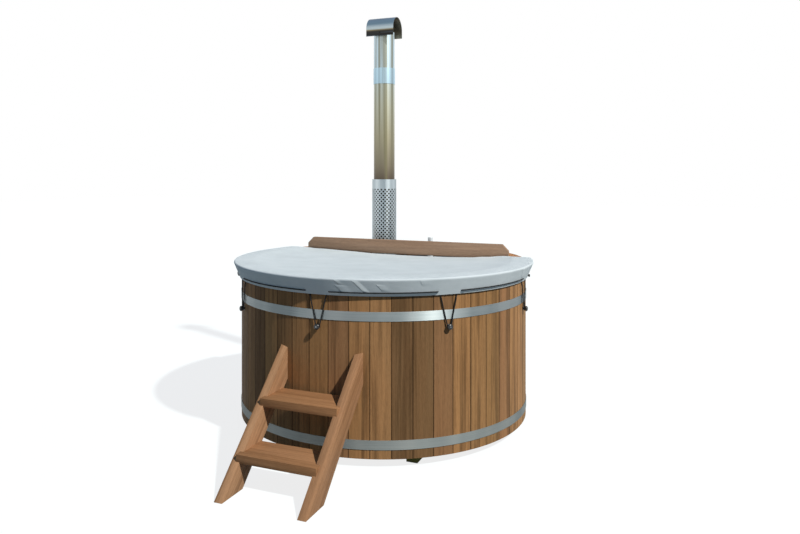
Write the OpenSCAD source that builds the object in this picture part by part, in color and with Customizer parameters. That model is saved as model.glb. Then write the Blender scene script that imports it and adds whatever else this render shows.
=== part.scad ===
// Round wooden hot tub with a stove inside it, a chimney, a fabric cover and a ladder.
// Millimetres. The origin is on the ground on the tub's axis, +Z is up and the ladder stands at -Y.
// An azimuth is counted from -Y towards +X, seen from above.

/* [Stave wall] */
// Outside radius of the stave wall
tub_r = 950; // [900:5:1000]
// Number of staves round the wall
stave_n = 50; // [46:1:54]
// Thickness of a stave
stave_t = 42; // [38:1:46]
// Height of the stave tops above the ground
stave_top_z = 1016; // [980:2:1050]
// Height of the stave ends above the ground
stave_foot_z = 52; // [44:1:60]
// Radius of the bead along one edge of a stave
bead_r = 8; // [6:0.5:10]
// How far the bead stands into the next stave's cove
bead_out = 4; // [3:0.5:5]
// Open joint between two staves
stave_gap = 0.5; // [0.4:0.1:0.8]
// Size of the bevel along each outer edge of a stave
stave_bevel = 1.5; // [1:0.5:3]

/* [Floor and beams] */
// Thickness of the floor boards
floor_t = 42; // [36:1:48]
// Wanted width of a floor board
floor_board_w = 118; // [90:1:140]
// Open joint between two floor boards
floor_gap = 1; // [0.6:0.2:2]
// Depth of the croze, the groove in the staves that holds the floor
croze_depth = 12; // [8:1:16]
// Width of a base beam
beam_w = 68; // [50:1:90]
// Height of a base beam
beam_h = 97; // [90:1:110]
// Distance between two base beams
beam_pitch = 478; // [430:1:500]
// Space between a beam's end and the stave wall
beam_clear = 10; // [6:1:20]

/* [Hoops] */
// Height of a hoop band
hoop_h = 52; // [40:1:60]
// Thickness of a hoop band
hoop_t = 3; // [2:0.5:4]
// Lower edge of the lower hoop above the stave ends
hoop_low = 52; // [30:1:54]
// Upper edge of the upper hoop below the stave tops
hoop_down = 154; // [150:1:190]
// Azimuth of the hoops' joint, at the back
hoop_split = 155; // [140:1:165]
// Open gap between the two ends of a hoop
hoop_gap = 40; // [30:1:60]
// How far a hoop's clamping lug stands out
lug_out = 34; // [28:1:44]
// Thickness of a clamping lug
lug_t = 6; // [4:0.5:8]
// Diameter of the clamping bolts
clamp_bolt_d = 10; // [8:1:12]

/* [Rim] */
// Width of the rim boards
rim_w = 85; // [70:1:100]
// Thickness of the rim boards
rim_t = 28; // [22:1:34]
// How far the rim stands out past the staves
rim_over = 7; // [3:1:8]
// Number of rim boards
rim_n = 8; // [6:1:10]
// Bevel along the rim's edges
rim_bevel = 4; // [2:0.5:6]

/* [Stove fence] */
// Room behind the fence's front, up to the outside of the stave wall
fence_room = 597; // [590:1:605]
// Thickness of the fence boards
fence_t = 34; // [28:1:36]
// Height of the top plank
plank_h = 99; // [80:1:120]
// Height of the top plank's lower edge over the stave tops
plank_up = 15; // [13:1:20]
// Size of the cut at the top plank's corners
plank_cut = 44; // [30:1:55]
// Height of the other fence boards
fence_board_h = 95; // [80:1:110]
// Open gap between two fence boards
fence_board_gap = 22; // [15:1:30]
// Thickness of the fence posts
post_t = 48; // [40:1:52]
// Width of the fence posts
post_w = 70; // [50:1:90]
// Distance of the fence posts from the middle
post_x = 520; // [470:1:560]
// How far the posts stop below the top plank's upper edge
post_down = 30; // [20:1:40]

/* [Bench] */
// Height of the seat over the floor
bench_h = 400; // [340:5:450]
// Thickness of the bench slats
bench_t = 28; // [22:1:34]
// Number of straight bench sections
bench_n = 5; // [5:1:6]
// Arc that the bench follows
bench_arc = 216; // [200:1:220]
// Width of a bench slat
slat_w = 94; // [80:1:100]
// Number of slats side by side
slat_n = 3; // [2:1:3]
// Open gap between slats
slat_gap = 10; // [6:1:14]
// Side of the square bench legs and bearers
bearer_w = 45; // [36:1:56]

/* [Stove] */
// Length of the stove
stove_l = 700; // [660:5:720]
// Width of the stove
stove_w = 290; // [280:1:300]
// Middle of the stove along X
stove_x = -30; // [-35:1:-25]
// Space between the fence posts and the stove
stove_gap = 20; // [16:1:24]
// Height of the stove's top face above the ground
stove_top_z = 975; // [960:1:985]
// Height of the stove's underside over the floor
stove_up = 70; // [50:1:90]
// Wall of the stove
stove_wall = 5; // [4:0.5:6]
// Radius of the stove's upright edges
stove_round = 45; // [30:1:60]
// Thickness of the stove's top plate
stove_plate_t = 8; // [6:0.5:10]
// How far the top plate stands out past the wall
stove_flange = 12; // [10:1:16]
// Length of the fuel opening
hatch_l = 240; // [220:1:245]
// Width of the stove's top beside the fuel opening, on each side
hatch_side = 40; // [37:1:48]
// Distance of the fuel opening's middle from the stove's right end
hatch_inset = 190; // [180:1:194]
// Height of the fire grate over the stove's underside
grate_up = 85; // [70:1:120]
// Thickness of the fire grate
grate_t = 14; // [10:1:18]

/* [Fuel lid] */
// How far the lid laps over the fuel opening
lid_lap = 20; // [16:1:20]
// Thickness of the lid
lid_t = 6; // [5:0.5:8]
// Running clearance round the lid
lid_clear = 0.5; // [0.4:0.1:0.8]
// Diameter of the lid's upright handle
handle_d = 38; // [32:1:42]
// Height of the handle over the lid
handle_h = 158; // [130:1:160]
// Thickness of a lid rail's web
rail_web = 9; // [7:0.5:11]

/* [Chimney] */
// Distance of the chimney's axis from the stove's left end
flue_inset = 134; // [125:1:138]
// Outside diameter of the flue pipe
flue_d = 160; // [150:1:164]
// Wall of the flue pipe
flue_wall = 2; // [1.5:0.1:2.5]
// Height of the flue pipe's top
flue_top_z = 2700; // [2690:1:2720]
// Length of the upper flue pipe
upper_flue_l = 336; // [260:1:440]
// Height of the sleeve
sleeve_h = 120; // [100:1:140]
// Wall of the sleeve
sleeve_wall = 2.7; // [2:0.1:3]
// Outside diameter of the perforated heat guard
guard_d = 186; // [184:1:196]
// Wall of the heat guard
guard_wall = 2; // [1.5:0.1:2.5]
// Height of the heat guard's top
guard_top_z = 1572; // [1500:1:1620]
// Height of the plain band at the guard's top
guard_band = 70; // [60:1:90]
// Diameter of the holes in the guard
hole_d = 22; // [14:0.5:24]
// Number of holes round the guard in one row
hole_n = 12; // [10:1:14]
// Distance between two rows of holes
hole_rise = 24; // [22:0.5:32]
// Length of the rain hood
hood_l = 222; // [200:1:260]
// Width of the rain hood
hood_w = 186; // [184:1:196]
// Height of the rain hood
hood_h = 148; // [140:1:165]
// Sheet thickness of the rain hood
hood_t = 2; // [1.5:0.1:2.5]
// How far the rain hood comes down over the pipe
hood_down = 34; // [32:1:45]

/* [Cover] */
// Thickness of the quilted top
cover_t = 8; // [6:0.5:10]
// Thickness of the hanging skirt
skirt_t = 3.5; // [3:0.1:4]
// How far the cover's edge bulges out past the staves
bulge = 50; // [42:1:54]
// Height of the cover from hem to top
cover_h = 103; // [95:1:120]
// How far the unsupported middle sags
sag = 45; // [30:1:50]
// Clearance of the cover round the rim
cover_clear = 1.5; // [1.2:0.1:2]
// Gap that the cover keeps in front of the fence
cover_back = 8; // [5:1:15]

/* [Shock cord] */
// Diameter of the cord
cord_d = 7; // [5:0.5:7]
// Height of the cord's outside runs over the hem
run_up = 20; // [16:1:28]
// Half of the span of one loop at the hem
loop_half = 52; // [44:1:60]
// Half of the distance between the two holes beside a knob
eye_half = 74; // [66:1:84]
// Azimuth step between two knobs
knob_step = 45; // [40:1:45]
// Height of the knobs below the stave tops
knob_down = 246; // [236:1:256]
// Diameter of a knob's head
knob_d = 33; // [26:1:40]
// Diameter of a knob's stem
knob_stem_d = 12; // [10:0.5:14]
// Length of the stem that the cord goes round
knob_stem_l = 13; // [11:0.5:16]
// Height of a knob's head
knob_head_h = 14; // [10:1:18]

/* [Ladder] */
// Distance of the stringers' front foot from the stave wall
ladder_out = 614; // [560:1:680]
// Length of a stringer's foot on the ground
foot_l = 181; // [160:1:200]
// Angle of the stringers
ladder_angle = 44.46; // [42:0.1:47]
// Overall width of the ladder
ladder_w = 517; // [440:1:560]
// Thickness of a stringer
stringer_t = 47.5; // [40:0.5:52]
// Depth of the housings that hold the treads
housing = 20.7; // [14:0.1:26]
// Thickness of a tread
tread_t = 45.6; // [38:0.2:50]
// Depth of a tread from front to back
tread_w = 208; // [180:1:212]
// Height of the lower tread's top
tread_low_z = 187; // [170:1:210]
// Height of the upper tread's top
tread_up_z = 408; // [390:1:430]
// How far a tread's nose stands out in front of the stringers
nose = 40; // [36:1:55]

/* [Drain] */
// Height of the drain's axis over the floor
drain_up = 50; // [48:1:60]
// Bore of the drain
drain_bore = 24; // [20:1:26]
// Outside diameter of the tube through the wall
drain_d = 34; // [32:1:38]
// Outside diameter of the hose tail
tail_d = 32; // [30:1:36]
// Length of the hose tail
tail_l = 42; // [36:1:60]
// Length of the valve's lever
lever_l = 92; // [80:1:100]

/* [Hidden] */
$fn = 96;
// Cut length that always passes right through a piece
through = 4000;
// Fit between two pieces that slide together and stay put
snug = 0.3;

// Facets of the tub's large round forms, lined up with the staves
tub_fn = 4 * stave_n;
stave_pitch = 360 / stave_n;
tub_in_r = tub_r - stave_t;
stave_half = stave_pitch / 2 - stave_gap / 2 / tub_r * 180 / PI;
bead_centre_r = tub_r - stave_t / 2;
bead_centre = bead_centre_r * [cos(stave_half), sin(stave_half)]
    + (bead_r - bead_out) * [sin(stave_half), -cos(stave_half)];

floor_z = beam_h;
floor_top_z = floor_z + floor_t;
croze_r = tub_in_r + croze_depth;
floor_r = croze_r - snug;
floor_n = round(2 * floor_r / floor_board_w);
floor_pitch = 2 * floor_r / floor_n;

hoop_r = tub_r + 0.2;
hoop_out_r = hoop_r + hoop_t;
lower_hoop_z = stave_foot_z + hoop_low;
upper_hoop_z = stave_top_z - hoop_down - hoop_h;
lug_inset = 3;
clamp_y = -hoop_out_r - (lug_out - hoop_t) / 2;

rim_r = tub_r + rim_over;
rim_in_r = rim_r - rim_w;
rim_top_z = stave_top_z + rim_t;

fence_y = tub_r - fence_room;
fence_back_y = fence_y + fence_t;
plank_z = stave_top_z + plank_up;
plank_half = sqrt(rim_in_r * rim_in_r - fence_back_y * fence_back_y) - 5;
board_half = sqrt(tub_in_r * tub_in_r - fence_back_y * fence_back_y) - 6;
board_rise = fence_board_h + fence_board_gap;
board_n = floor((plank_z - floor_top_z - fence_board_gap) / board_rise);
post_top_z = plank_z + plank_h - post_down;
fence_screw_d = 6;
fence_screw_l = post_t + fence_t / 2;
fence_screw_fit = 0.4;
plank_screw_z = (plank_z + post_top_z) / 2;
function board_screw_z(i) = plank_z - i * board_rise + fence_board_h / 2;
fence_screw_levels = concat([plank_screw_z], [for (i = [1:board_n]) board_screw_z(i)]);

bench_z = floor_top_z + bench_h;
bench_step = bench_arc / bench_n;
bench_clear = 8;
bench_corner_r = tub_in_r - bench_clear;
bench_out = bench_corner_r * cos(bench_step / 2);
bench_w = slat_n * slat_w + (slat_n - 1) * slat_gap;
bearer_z = bench_z - bench_t - bearer_w;
bearer_inset = 12;
bearer_clear = 4;
leg_in_set = 50;
leg_out_set = 60;
bearer_in = (bench_out - bench_w) / cos(bench_step / 2) + bearer_inset;
bearer_out = bench_corner_r - bearer_clear;
leg_in = bearer_in + leg_in_set;
leg_out = bearer_out - leg_out_set;
mitre_gap = 2;

stove_y = fence_back_y + post_t + stove_gap + stove_w / 2;
flue_x = stove_x - stove_l / 2 + flue_inset;
hatch_x = stove_x + stove_l / 2 - hatch_inset;
stove_z = floor_top_z + stove_up;
gasket_t = 3;
stove_body_h = stove_top_z - stove_plate_t - gasket_t - stove_z;
grate_z = stove_z + grate_up;
grate_edge = 25;
foot_pad = 60;
foot_web = 6;
foot_in = 20;
stove_bolt_d = 8;

hatch_w = stove_w - 2 * hatch_side;
lid_l = hatch_l + 2 * lid_lap;
lid_w = hatch_w + 2 * lid_lap;
lid_z = stove_top_z + lid_clear;
lid_top_z = lid_z + lid_t;
rail_y = lid_w / 2 + lid_clear;
rail_lip = 8;
rail_lip_t = 3;
stop_l = 120;
stop_w = 8;
rail_end_x = stove_x + stove_l / 2;
handle_wall = 2;
handle_foot_t = 5;
cap_t = 6;

flue_r = flue_d / 2;
collar_t = 6;
collar_h = 60;
collar_wall = 3;
guard_r = guard_d / 2;
guard_z = stove_top_z + collar_t;
hole_top_z = guard_top_z - guard_band - hole_d / 2;
hole_rows = floor((hole_top_z - guard_z - hole_d) / hole_rise) + 1;
sleeve_r = flue_r + snug + sleeve_wall;
flue_joint_z = flue_top_z - upper_flue_l;
sleeve_z = flue_joint_z - sleeve_h / 2;
hood_z = flue_top_z - hood_down;
hood_r = hood_w / 2;
hood_wall_y = hood_r - hood_t;
spacer_d = 12;
spacer_levels = [hood_z + 10, hood_z + hood_down - 9];

cover_top_z = rim_top_z + 0.4 + cover_t;
hem_z = cover_top_z - cover_h;
hem_in_r = rim_r + cover_clear;
hem_r = hem_in_r + skirt_t;
bulge_r = tub_r + bulge;
bulge_z = cover_top_z - 12;
cover_back_y = fence_y - cover_back;
skirt_tilt = atan((bulge_r - hem_r) / (bulge_z - hem_z));

cord_r = cord_d / 2;
run_z = hem_z + run_up;
eye_r = hem_r + run_up * tan(skirt_tilt);
run_r = eye_r + (cord_r + 0.4) / cos(skirt_tilt);
knob_z = stave_top_z - knob_down;
knob_azimuths = [for (i = [-2:2]) i * knob_step];
knob_foot_t = 4;
knob_recess = 4;
knob_screw_d = 5;
knob_screw_in = 30;
knob_stem_r = knob_stem_d / 2;
knob_seat_r = tub_r + snug;
loop_bend = knob_stem_r + cord_r + 0.5;
eye_angle = eye_half / run_r * 180 / PI;
eye_fit = 1.2;
run_bend = cord_r + snug;

// The cord's route round one knob, as [along the wall, radius, height] from the knob's azimuth
loop_top_r = hem_in_r - 1;
loop_hem_r = (tub_r + hem_in_r) / 2;
loop_lean = atan((loop_half - loop_bend) / (hem_z - knob_z));
loop_knob_r = knob_seat_r + knob_foot_t + knob_stem_l / 2;
stub_in_r = loop_top_r + cord_r + snug;
loop_tangent = [loop_bend * cos(loop_lean), knob_z - loop_bend * sin(loop_lean)];

// A point of the straight strand, from the knob at 0 to the hem at 1
function strand(s) = [
    loop_tangent[0] + s * (loop_half - loop_tangent[0]),
    max(loop_knob_r + s * (loop_hem_r - loop_knob_r), s < 0.9 ? hoop_out_r + cord_r + 0.6 : 0),
    loop_tangent[1] + s * (hem_z - loop_tangent[1])
];

loop_half_route = concat(
    [for (a = [90:-30:30])
        [loop_bend * cos(a), loop_knob_r, knob_z - loop_bend * sin(a)]],
    [for (s = [0, 0.15, 0.4, 0.6, 0.8, 1]) strand(s)],
    [[loop_half + 6, loop_hem_r + 1, hem_z + 14],
     [eye_half - 3, loop_top_r - 1, run_z - 8],
     [eye_half, loop_top_r, run_z + 6]]
);
loop_route = concat(
    [for (i = [len(loop_half_route) - 1:-1:1])
        [-loop_half_route[i][0], loop_half_route[i][1], loop_half_route[i][2]]],
    loop_half_route
);

ladder_half = ladder_w / 2;
stringer_in = ladder_half - stringer_t;
tread_half = stringer_in + housing;
front_foot_v = tub_r + ladder_out;
back_foot_v = front_foot_v - foot_l;
slope = tan(ladder_angle);
stringer_run = 60;
ladder_screw_d = 8;
ladder_screw_x = ladder_half - stringer_t / 2;
ladder_screw_down = 90;
ladder_screw_z = (front_foot_v - tub_r) * slope - ladder_screw_down;
ladder_screw_reach = 58;
ladder_head_t = 5;
housing_fit = 0.2;

drain_z = floor_top_z + drain_up;
drain_collar_d = drain_d + 24;
drain_collar_t = 5;
drain_seal_t = 3;
drain_seal_y = sqrt(pow(tub_in_r, 2) - pow(drain_collar_d / 2, 2)) - snug - drain_seal_t;
drain_nut_t = 12;
valve_l = 62;
valve_d = 46;
valve_y = tub_r + drain_nut_t + 1 + valve_l / 2;
tail_y = valve_y + valve_l / 2;
stem_d = 10;
stem_fit = 0.3;
neck_top_z = drain_z + valve_d / 2 + 8;
lever_z = neck_top_z + snug;
lever_t = 4;
lever_nut_t = 5;
stem_top_z = lever_z + lever_t + lever_nut_t + 2;

// Turns what is drawn at the wall's front, where outwards is -Y, to its azimuth
module at_azimuth(a) {
    rotate([0, 0, a])
        children();
}

// A rectangle with round corners, centred
module round_rect(l, w, r) {
    square([l - 2 * r, w], center = true);
    square([l, w - 2 * r], center = true);
    for (x = [-1, 1], y = [-1, 1])
        translate([x * (l / 2 - r), y * (w / 2 - r)])
            circle(r);
}

// A tube along Z
module pipe(r, wall, h) {
    difference() {
        cylinder(r = r, h = h);
        translate([0, 0, -1])
            cylinder(r = r - wall, h = h + 2);
    }
}

// A ring sector of a profile drawn in radius and height, centred on -Y
module arc_of(angle) {
    rotate([0, 0, -90 - angle / 2])
        rotate_extrude(angle = angle, $fn = tub_fn)
            children();
}

// --- Base and floor ---

// Length of the beam at x that ends just inside the ring of staves
function beam_length(x) =
    2 * sqrt(pow(tub_in_r - beam_clear, 2) - pow(abs(x) + beam_w / 2, 2));

module base_beams() {
    color("#4a4a2b")
        for (x = [-beam_pitch, 0, beam_pitch])
            translate([x - beam_w / 2, -beam_length(x) / 2, 0])
                cube([beam_w, beam_length(x), beam_h]);
}

module floor_boards() {
    color("#9a7048")
        for (i = [0:floor_n - 1])
            intersection() {
                translate([-floor_r, -floor_r + i * floor_pitch + floor_gap / 2, floor_z])
                    cube([2 * floor_r, floor_pitch - floor_gap, floor_t]);
                translate([0, 0, floor_z])
                    cylinder(r = floor_r, h = floor_t, $fn = tub_fn);
            }
}

// --- Stave wall ---

// Plan of one stave on +X: its bead is on the left edge and its cove is on the right one
module stave_plan() {
    far = 2 * tub_r;
    difference() {
        union() {
            intersection() {
                difference() {
                    circle(tub_r, $fn = tub_fn);
                    circle(tub_in_r, $fn = tub_fn);
                }
                polygon([[0, 0], far * [cos(stave_half), -sin(stave_half)],
                         far * [cos(stave_half), sin(stave_half)]]);
            }
            translate(bead_centre)
                circle(bead_r, $fn = 32);
        }
        rotate(-stave_pitch)
            translate(bead_centre)
                circle(bead_r + stave_gap, $fn = 32);
        for (side = [-1, 1])
            rotate(side * stave_half)
                translate([tub_r, 0])
                    rotate(45)
                        square(stave_bevel * sqrt(2), center = true);
    }
}

module stave() {
    difference() {
        translate([0, 0, stave_foot_z])
            linear_extrude(stave_top_z - stave_foot_z)
                stave_plan();
        translate([0, 0, floor_z - snug])
            cylinder(r = croze_r, h = floor_t + 2 * snug, $fn = tub_fn);
    }
}

// Holes that fasteners and the drain need through the wall at one azimuth
module wall_holes(a) {
    near = stave_pitch;
    for (k = knob_azimuths)
        if (abs(k - a) < near)
            at_azimuth(k)
                translate([0, -tub_r + knob_screw_in, knob_z])
                    rotate([90, 0, 0])
                        cylinder(d = knob_screw_d + 0.2, h = stave_t, $fn = 32);
    for (side = [-1, 1])
        if (abs(a - side * asin(ladder_screw_x / tub_r)) < near)
            translate([side * ladder_screw_x, 0, ladder_screw_z])
                rotate([90, 0, 0])
                    cylinder(d = ladder_screw_d + 0.4, h = tub_r + 10, $fn = 32);
    if (abs(a - 180) < near)
        translate([0, 0, drain_z])
            rotate([-90, 0, 0])
                cylinder(d = drain_d + 1, h = tub_r + 10);
}

module staves() {
    color("#85603f")
        for (i = [0:stave_n - 1]) {
            a = i * stave_pitch;
            azimuth = a > 180 ? a - 360 : a;
            difference() {
                rotate([0, 0, a - 90])
                    stave();
                wall_holes(azimuth);
            }
        }
}

// A band with a lug on each side of its open joint
module hoop(z) {
    lug_half = hoop_gap / 2 + lug_t;
    difference() {
        union() {
            translate([0, 0, z])
                pipe(hoop_out_r, hoop_t, hoop_h, $fn = tub_fn);
            at_azimuth(hoop_split)
                translate([-lug_half, -hoop_r - lug_out, z + lug_inset])
                    cube([2 * lug_half, lug_out - hoop_t / 2, hoop_h - 2 * lug_inset]);
        }
        at_azimuth(hoop_split) {
            translate([-hoop_gap / 2, -hoop_r - lug_out - 1, z - 1])
                cube([hoop_gap, lug_out + 10, hoop_h + 2]);
            translate([-through / 2, clamp_y, z + hoop_h / 2])
                rotate([0, 90, 0])
                    cylinder(d = clamp_bolt_d + 1, h = through, $fn = 48);
        }
    }
}

module lower_hoop() {
    color("#8f9799")
        hoop(lower_hoop_z);
}

module upper_hoop() {
    color("#8f9799")
        hoop(upper_hoop_z);
}

module hoop_bolts() {
    head_t = 7;
    spare = 10;
    reach = hoop_gap / 2 + lug_t;
    color("#b9bcbd")
        for (z = [lower_hoop_z, upper_hoop_z])
            at_azimuth(hoop_split)
                translate([0, clamp_y, z + hoop_h / 2])
                    rotate([0, 90, 0]) {
                        translate([0, 0, -reach - spare])
                            cylinder(d = clamp_bolt_d, h = 2 * (reach + spare), $fn = 48);
                        for (end = [-reach - head_t, reach])
                            translate([0, 0, end])
                                cylinder(d = clamp_bolt_d * 1.9, h = head_t, $fn = 6);
                    }
}

module rim_profile() {
    polygon([[rim_in_r, 0], [rim_r, 0],
             [rim_r, rim_t - rim_bevel], [rim_r - rim_bevel, rim_t],
             [rim_in_r + rim_bevel, rim_t], [rim_in_r, rim_t - rim_bevel]]);
}

module rim_boards() {
    color("#a9713f")
        for (i = [0:rim_n - 1])
            at_azimuth((i + 0.5) * 360 / rim_n)
                translate([0, 0, stave_top_z])
                    arc_of(360 / rim_n - 0.05)
                        rim_profile();
}

// --- Fence in front of the stove ---

// A board seen from the front, drawn in X and Z, that stands behind the fence's front
module fence_panel() {
    translate([0, fence_back_y, 0])
        rotate([90, 0, 0])
            linear_extrude(fence_t)
                children();
}

module fence_plank() {
    top = plank_z + plank_h;
    color("#8f7460")
        difference() {
            fence_panel()
                polygon([[-plank_half, plank_z], [plank_half, plank_z],
                         [plank_half, top - plank_cut], [plank_half - plank_cut, top],
                         [plank_cut - plank_half, top], [-plank_half, top - plank_cut]]);
            each_fence_screw([plank_screw_z])
                fence_screw(fence_screw_fit);
        }
}

module fence_boards() {
    color("#94714f")
        for (i = [1:board_n])
            difference() {
                fence_panel()
                    translate([-board_half, plank_z - i * board_rise])
                        square([2 * board_half, fence_board_h]);
                each_fence_screw([board_screw_z(i)])
                    fence_screw(fence_screw_fit);
            }
}

module fence_posts() {
    color("#8a6846")
        difference() {
            for (side = [-1, 1])
                translate([side * post_x - post_w / 2, fence_back_y, floor_top_z])
                    cube([post_w, post_t, post_top_z - floor_top_z]);
            each_fence_screw(fence_screw_levels)
                fence_screw(fence_screw_fit);
        }
}

// Places what is drawn at the back of both posts, with +Z pointing forwards into the boards
module each_fence_screw(levels) {
    for (side = [-1, 1], z = levels)
        translate([side * post_x, fence_back_y + post_t, z])
            rotate([90, 0, 0])
                children();
}

module fence_screw(extra) {
    head_t = 4;
    cylinder(d = fence_screw_d + extra, h = fence_screw_l + extra / 2, $fn = 24);
    cylinder(d1 = 2 * fence_screw_d + extra, d2 = fence_screw_d + extra, h = head_t, $fn = 24);
}

module fence_screws() {
    color("#b4b7b8")
        each_fence_screw(fence_screw_levels)
            fence_screw(0);
}

// --- Bench ---

// One slat of a bench section: a board with its ends cut on the section's two edges
module bench_slat(from) {
    to = from - slat_w;
    cut = tan(bench_step / 2);
    linear_extrude(bench_t)
        polygon([[-from * cut + mitre_gap, -from], [from * cut - mitre_gap, -from],
                 [to * cut - mitre_gap, -to], [-to * cut + mitre_gap, -to]]);
}

module bench_slats() {
    color("#a67b50")
        for (i = [0:bench_n - 1])
            at_azimuth((i + 0.5) * bench_step - bench_arc / 2)
                for (j = [0:slat_n - 1])
                    translate([0, 0, bench_z - bench_t])
                        bench_slat(bench_out - j * (slat_w + slat_gap));
}

// Places what is drawn at each radial bearer; the end bearers stand just inside the bench's ends
module each_bearer() {
    inset = 3;
    for (i = [0:bench_n])
        at_azimuth(i * bench_step - bench_arc / 2 + (i == 0 ? inset : i == bench_n ? -inset : 0))
            children();
}

module bench_bearers() {
    color("#8c6a48")
        each_bearer()
            translate([-bearer_w / 2, -bearer_out, bearer_z])
                cube([bearer_w, bearer_out - bearer_in, bearer_w]);
}

module bench_legs() {
    color("#8c6a48")
        each_bearer()
            for (r = [leg_in, leg_out])
                translate([-bearer_w / 2, -r - bearer_w / 2, floor_top_z])
                    cube([bearer_w, bearer_w, bearer_z - floor_top_z]);
}

// --- Stove ---

// Places what is drawn at each corner of the stove's foot
module each_stove_foot() {
    for (x = [-1, 1], y = [-1, 1])
        translate([stove_x + x * (stove_l / 2 - stove_round - foot_in),
                   stove_y + y * (stove_w / 2 - stove_round), 0])
            children();
}

module stove_feet() {
    color("#9fa4a7")
        each_stove_foot()
            translate([0, 0, floor_top_z]) {
                translate([-foot_pad / 2, -foot_pad / 2, 0])
                    cube([foot_pad, foot_pad, foot_web]);
                translate([-foot_web / 2, -foot_pad / 2, foot_web])
                    cube([foot_web, foot_pad, stove_up - 2 * foot_web]);
                translate([-foot_pad / 2, -foot_pad / 2, stove_up - foot_web])
                    cube([foot_pad, foot_pad, foot_web]);
            }
}

module stove_body() {
    inner_l = stove_l - 2 * stove_wall;
    inner_w = stove_w - 2 * stove_wall;
    ledge = 14;
    color("#b9bec0")
        translate([stove_x, stove_y, stove_z]) {
            difference() {
                linear_extrude(stove_body_h)
                    round_rect(stove_l, stove_w, stove_round);
                translate([0, 0, stove_wall])
                    linear_extrude(stove_body_h)
                        round_rect(inner_l, inner_w, stove_round - stove_wall);
            }
            for (side = [-1, 1])
                translate([-inner_l / 2 + stove_round, side * (inner_w / 2 - ledge / 2) - ledge / 2,
                           grate_up - 8])
                    cube([inner_l - 2 * stove_round, ledge, 8]);
        }
}

module stove_gasket() {
    color("#3a3a38")
        translate([stove_x, stove_y, stove_z + stove_body_h])
            linear_extrude(gasket_t)
                difference() {
                    round_rect(stove_l, stove_w, stove_round);
                    round_rect(stove_l - 30, stove_w - 30, stove_round - 15);
                }
}

// Places what is drawn at each bolt of the stove's top plate
module each_stove_bolt() {
    for (x = [-0.42, -0.14, 0.14, 0.42], y = [-1, 1])
        translate([stove_x + x * stove_l, stove_y + y * (stove_w / 2 + stove_flange - stove_bolt_d), 0])
            children();
}

module stove_top() {
    color("#c3c8ca")
        translate([0, 0, stove_top_z - stove_plate_t])
            difference() {
                translate([stove_x, stove_y, 0])
                    linear_extrude(stove_plate_t)
                        round_rect(stove_l + 2 * stove_flange, stove_w + 2 * stove_flange,
                                   stove_round + stove_flange);
                translate([hatch_x, stove_y, -1])
                    linear_extrude(stove_plate_t + 2)
                        round_rect(hatch_l, hatch_w, 15);
                translate([flue_x, stove_y, -1])
                    cylinder(r = flue_r - flue_wall - 4, h = stove_plate_t + 2);
            }
}

module stove_bolts() {
    color("#9a9ea0")
        each_stove_bolt()
            translate([0, 0, stove_top_z])
                cylinder(d = stove_bolt_d * 1.7, h = 5, $fn = 6);
}

module fire_grate() {
    l = stove_l - 2 * stove_wall - 2 * stove_round;
    w = stove_w - 2 * stove_wall - 3;
    bar_pitch = 24;
    slots = floor((l - 30) / bar_pitch);
    color("#2f2f30")
        translate([stove_x - l / 2, stove_y - w / 2, grate_z])
            difference() {
                cube([l, w, grate_t]);
                for (i = [0:slots - 1])
                    translate([l / 2 + (i - (slots - 1) / 2) * bar_pitch - 6, grate_edge, -1])
                        cube([12, w - 2 * grate_edge, grate_t + 2]);
            }
}

// --- Fuel lid ---

module lid_rails() {
    start = hatch_x - lid_l / 2 - 10;
    slot_h = lid_t + 2 * lid_clear;
    color("#aeb3b5")
        for (side = [0, 1])
            translate([start, stove_y, stove_top_z])
                rotate([90, 0, 90])
                    linear_extrude(rail_end_x - start)
                        mirror([side, 0])
                            polygon([[rail_y, 0], [rail_y + rail_web, 0],
                                     [rail_y + rail_web, slot_h + rail_lip_t],
                                     [rail_y - rail_lip, slot_h + rail_lip_t],
                                     [rail_y - rail_lip, slot_h], [rail_y, slot_h]]);
}

module lid_stop() {
    color("#aeb3b5")
        translate([hatch_x - lid_l / 2 - lid_clear - stop_w, stove_y - stop_l / 2, stove_top_z])
            cube([stop_w, stop_l, lid_t + lid_clear]);
}

module fuel_lid() {
    color("#a4a9ab")
        difference() {
            translate([hatch_x, stove_y, lid_z])
                linear_extrude(lid_t)
                    round_rect(lid_l, lid_w, 12);
            each_lid_bolt()
                translate([0, 0, lid_z - 1])
                    cylinder(d = 6.4, h = lid_t + 2, $fn = 32);
        }
}

// Places what is drawn at each bolt of the handle's foot
module each_lid_bolt() {
    for (a = [45:90:315])
        translate([hatch_x, stove_y, 0])
            rotate([0, 0, a])
                translate([handle_d / 2 + 10, 0, 0])
                    children();
}

module lid_handle() {
    color("#ccd2d5")
        difference() {
            translate([hatch_x, stove_y, lid_top_z]) {
                cylinder(r = handle_d / 2 + 20, h = handle_foot_t);
                pipe(handle_d / 2, handle_wall, handle_h - cap_t);
            }
            each_lid_bolt()
                translate([0, 0, lid_top_z - 1])
                    cylinder(d = 6.4, h = handle_foot_t + 2, $fn = 32);
        }
}

module handle_cap() {
    color("#dfe4e6")
        translate([hatch_x, stove_y, lid_top_z + handle_h - cap_t]) {
            rotate_extrude()
                polygon([[0, 0], [handle_d / 2, 0], [handle_d / 2, cap_t - 2],
                         [handle_d / 2 - 2, cap_t], [0, cap_t]]);
            translate([0, 0, -10])
                cylinder(r = handle_d / 2 - handle_wall - 0.1, h = 10);
        }
}

module lid_bolts() {
    color("#8f9496")
        each_lid_bolt()
            translate([0, 0, lid_z]) {
                cylinder(d = 6, h = lid_t + handle_foot_t + 0.5, $fn = 32);
                translate([0, 0, lid_t + handle_foot_t])
                    cylinder(d = 10, h = 4, $fn = 6);
            }
}

// --- Chimney ---

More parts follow.
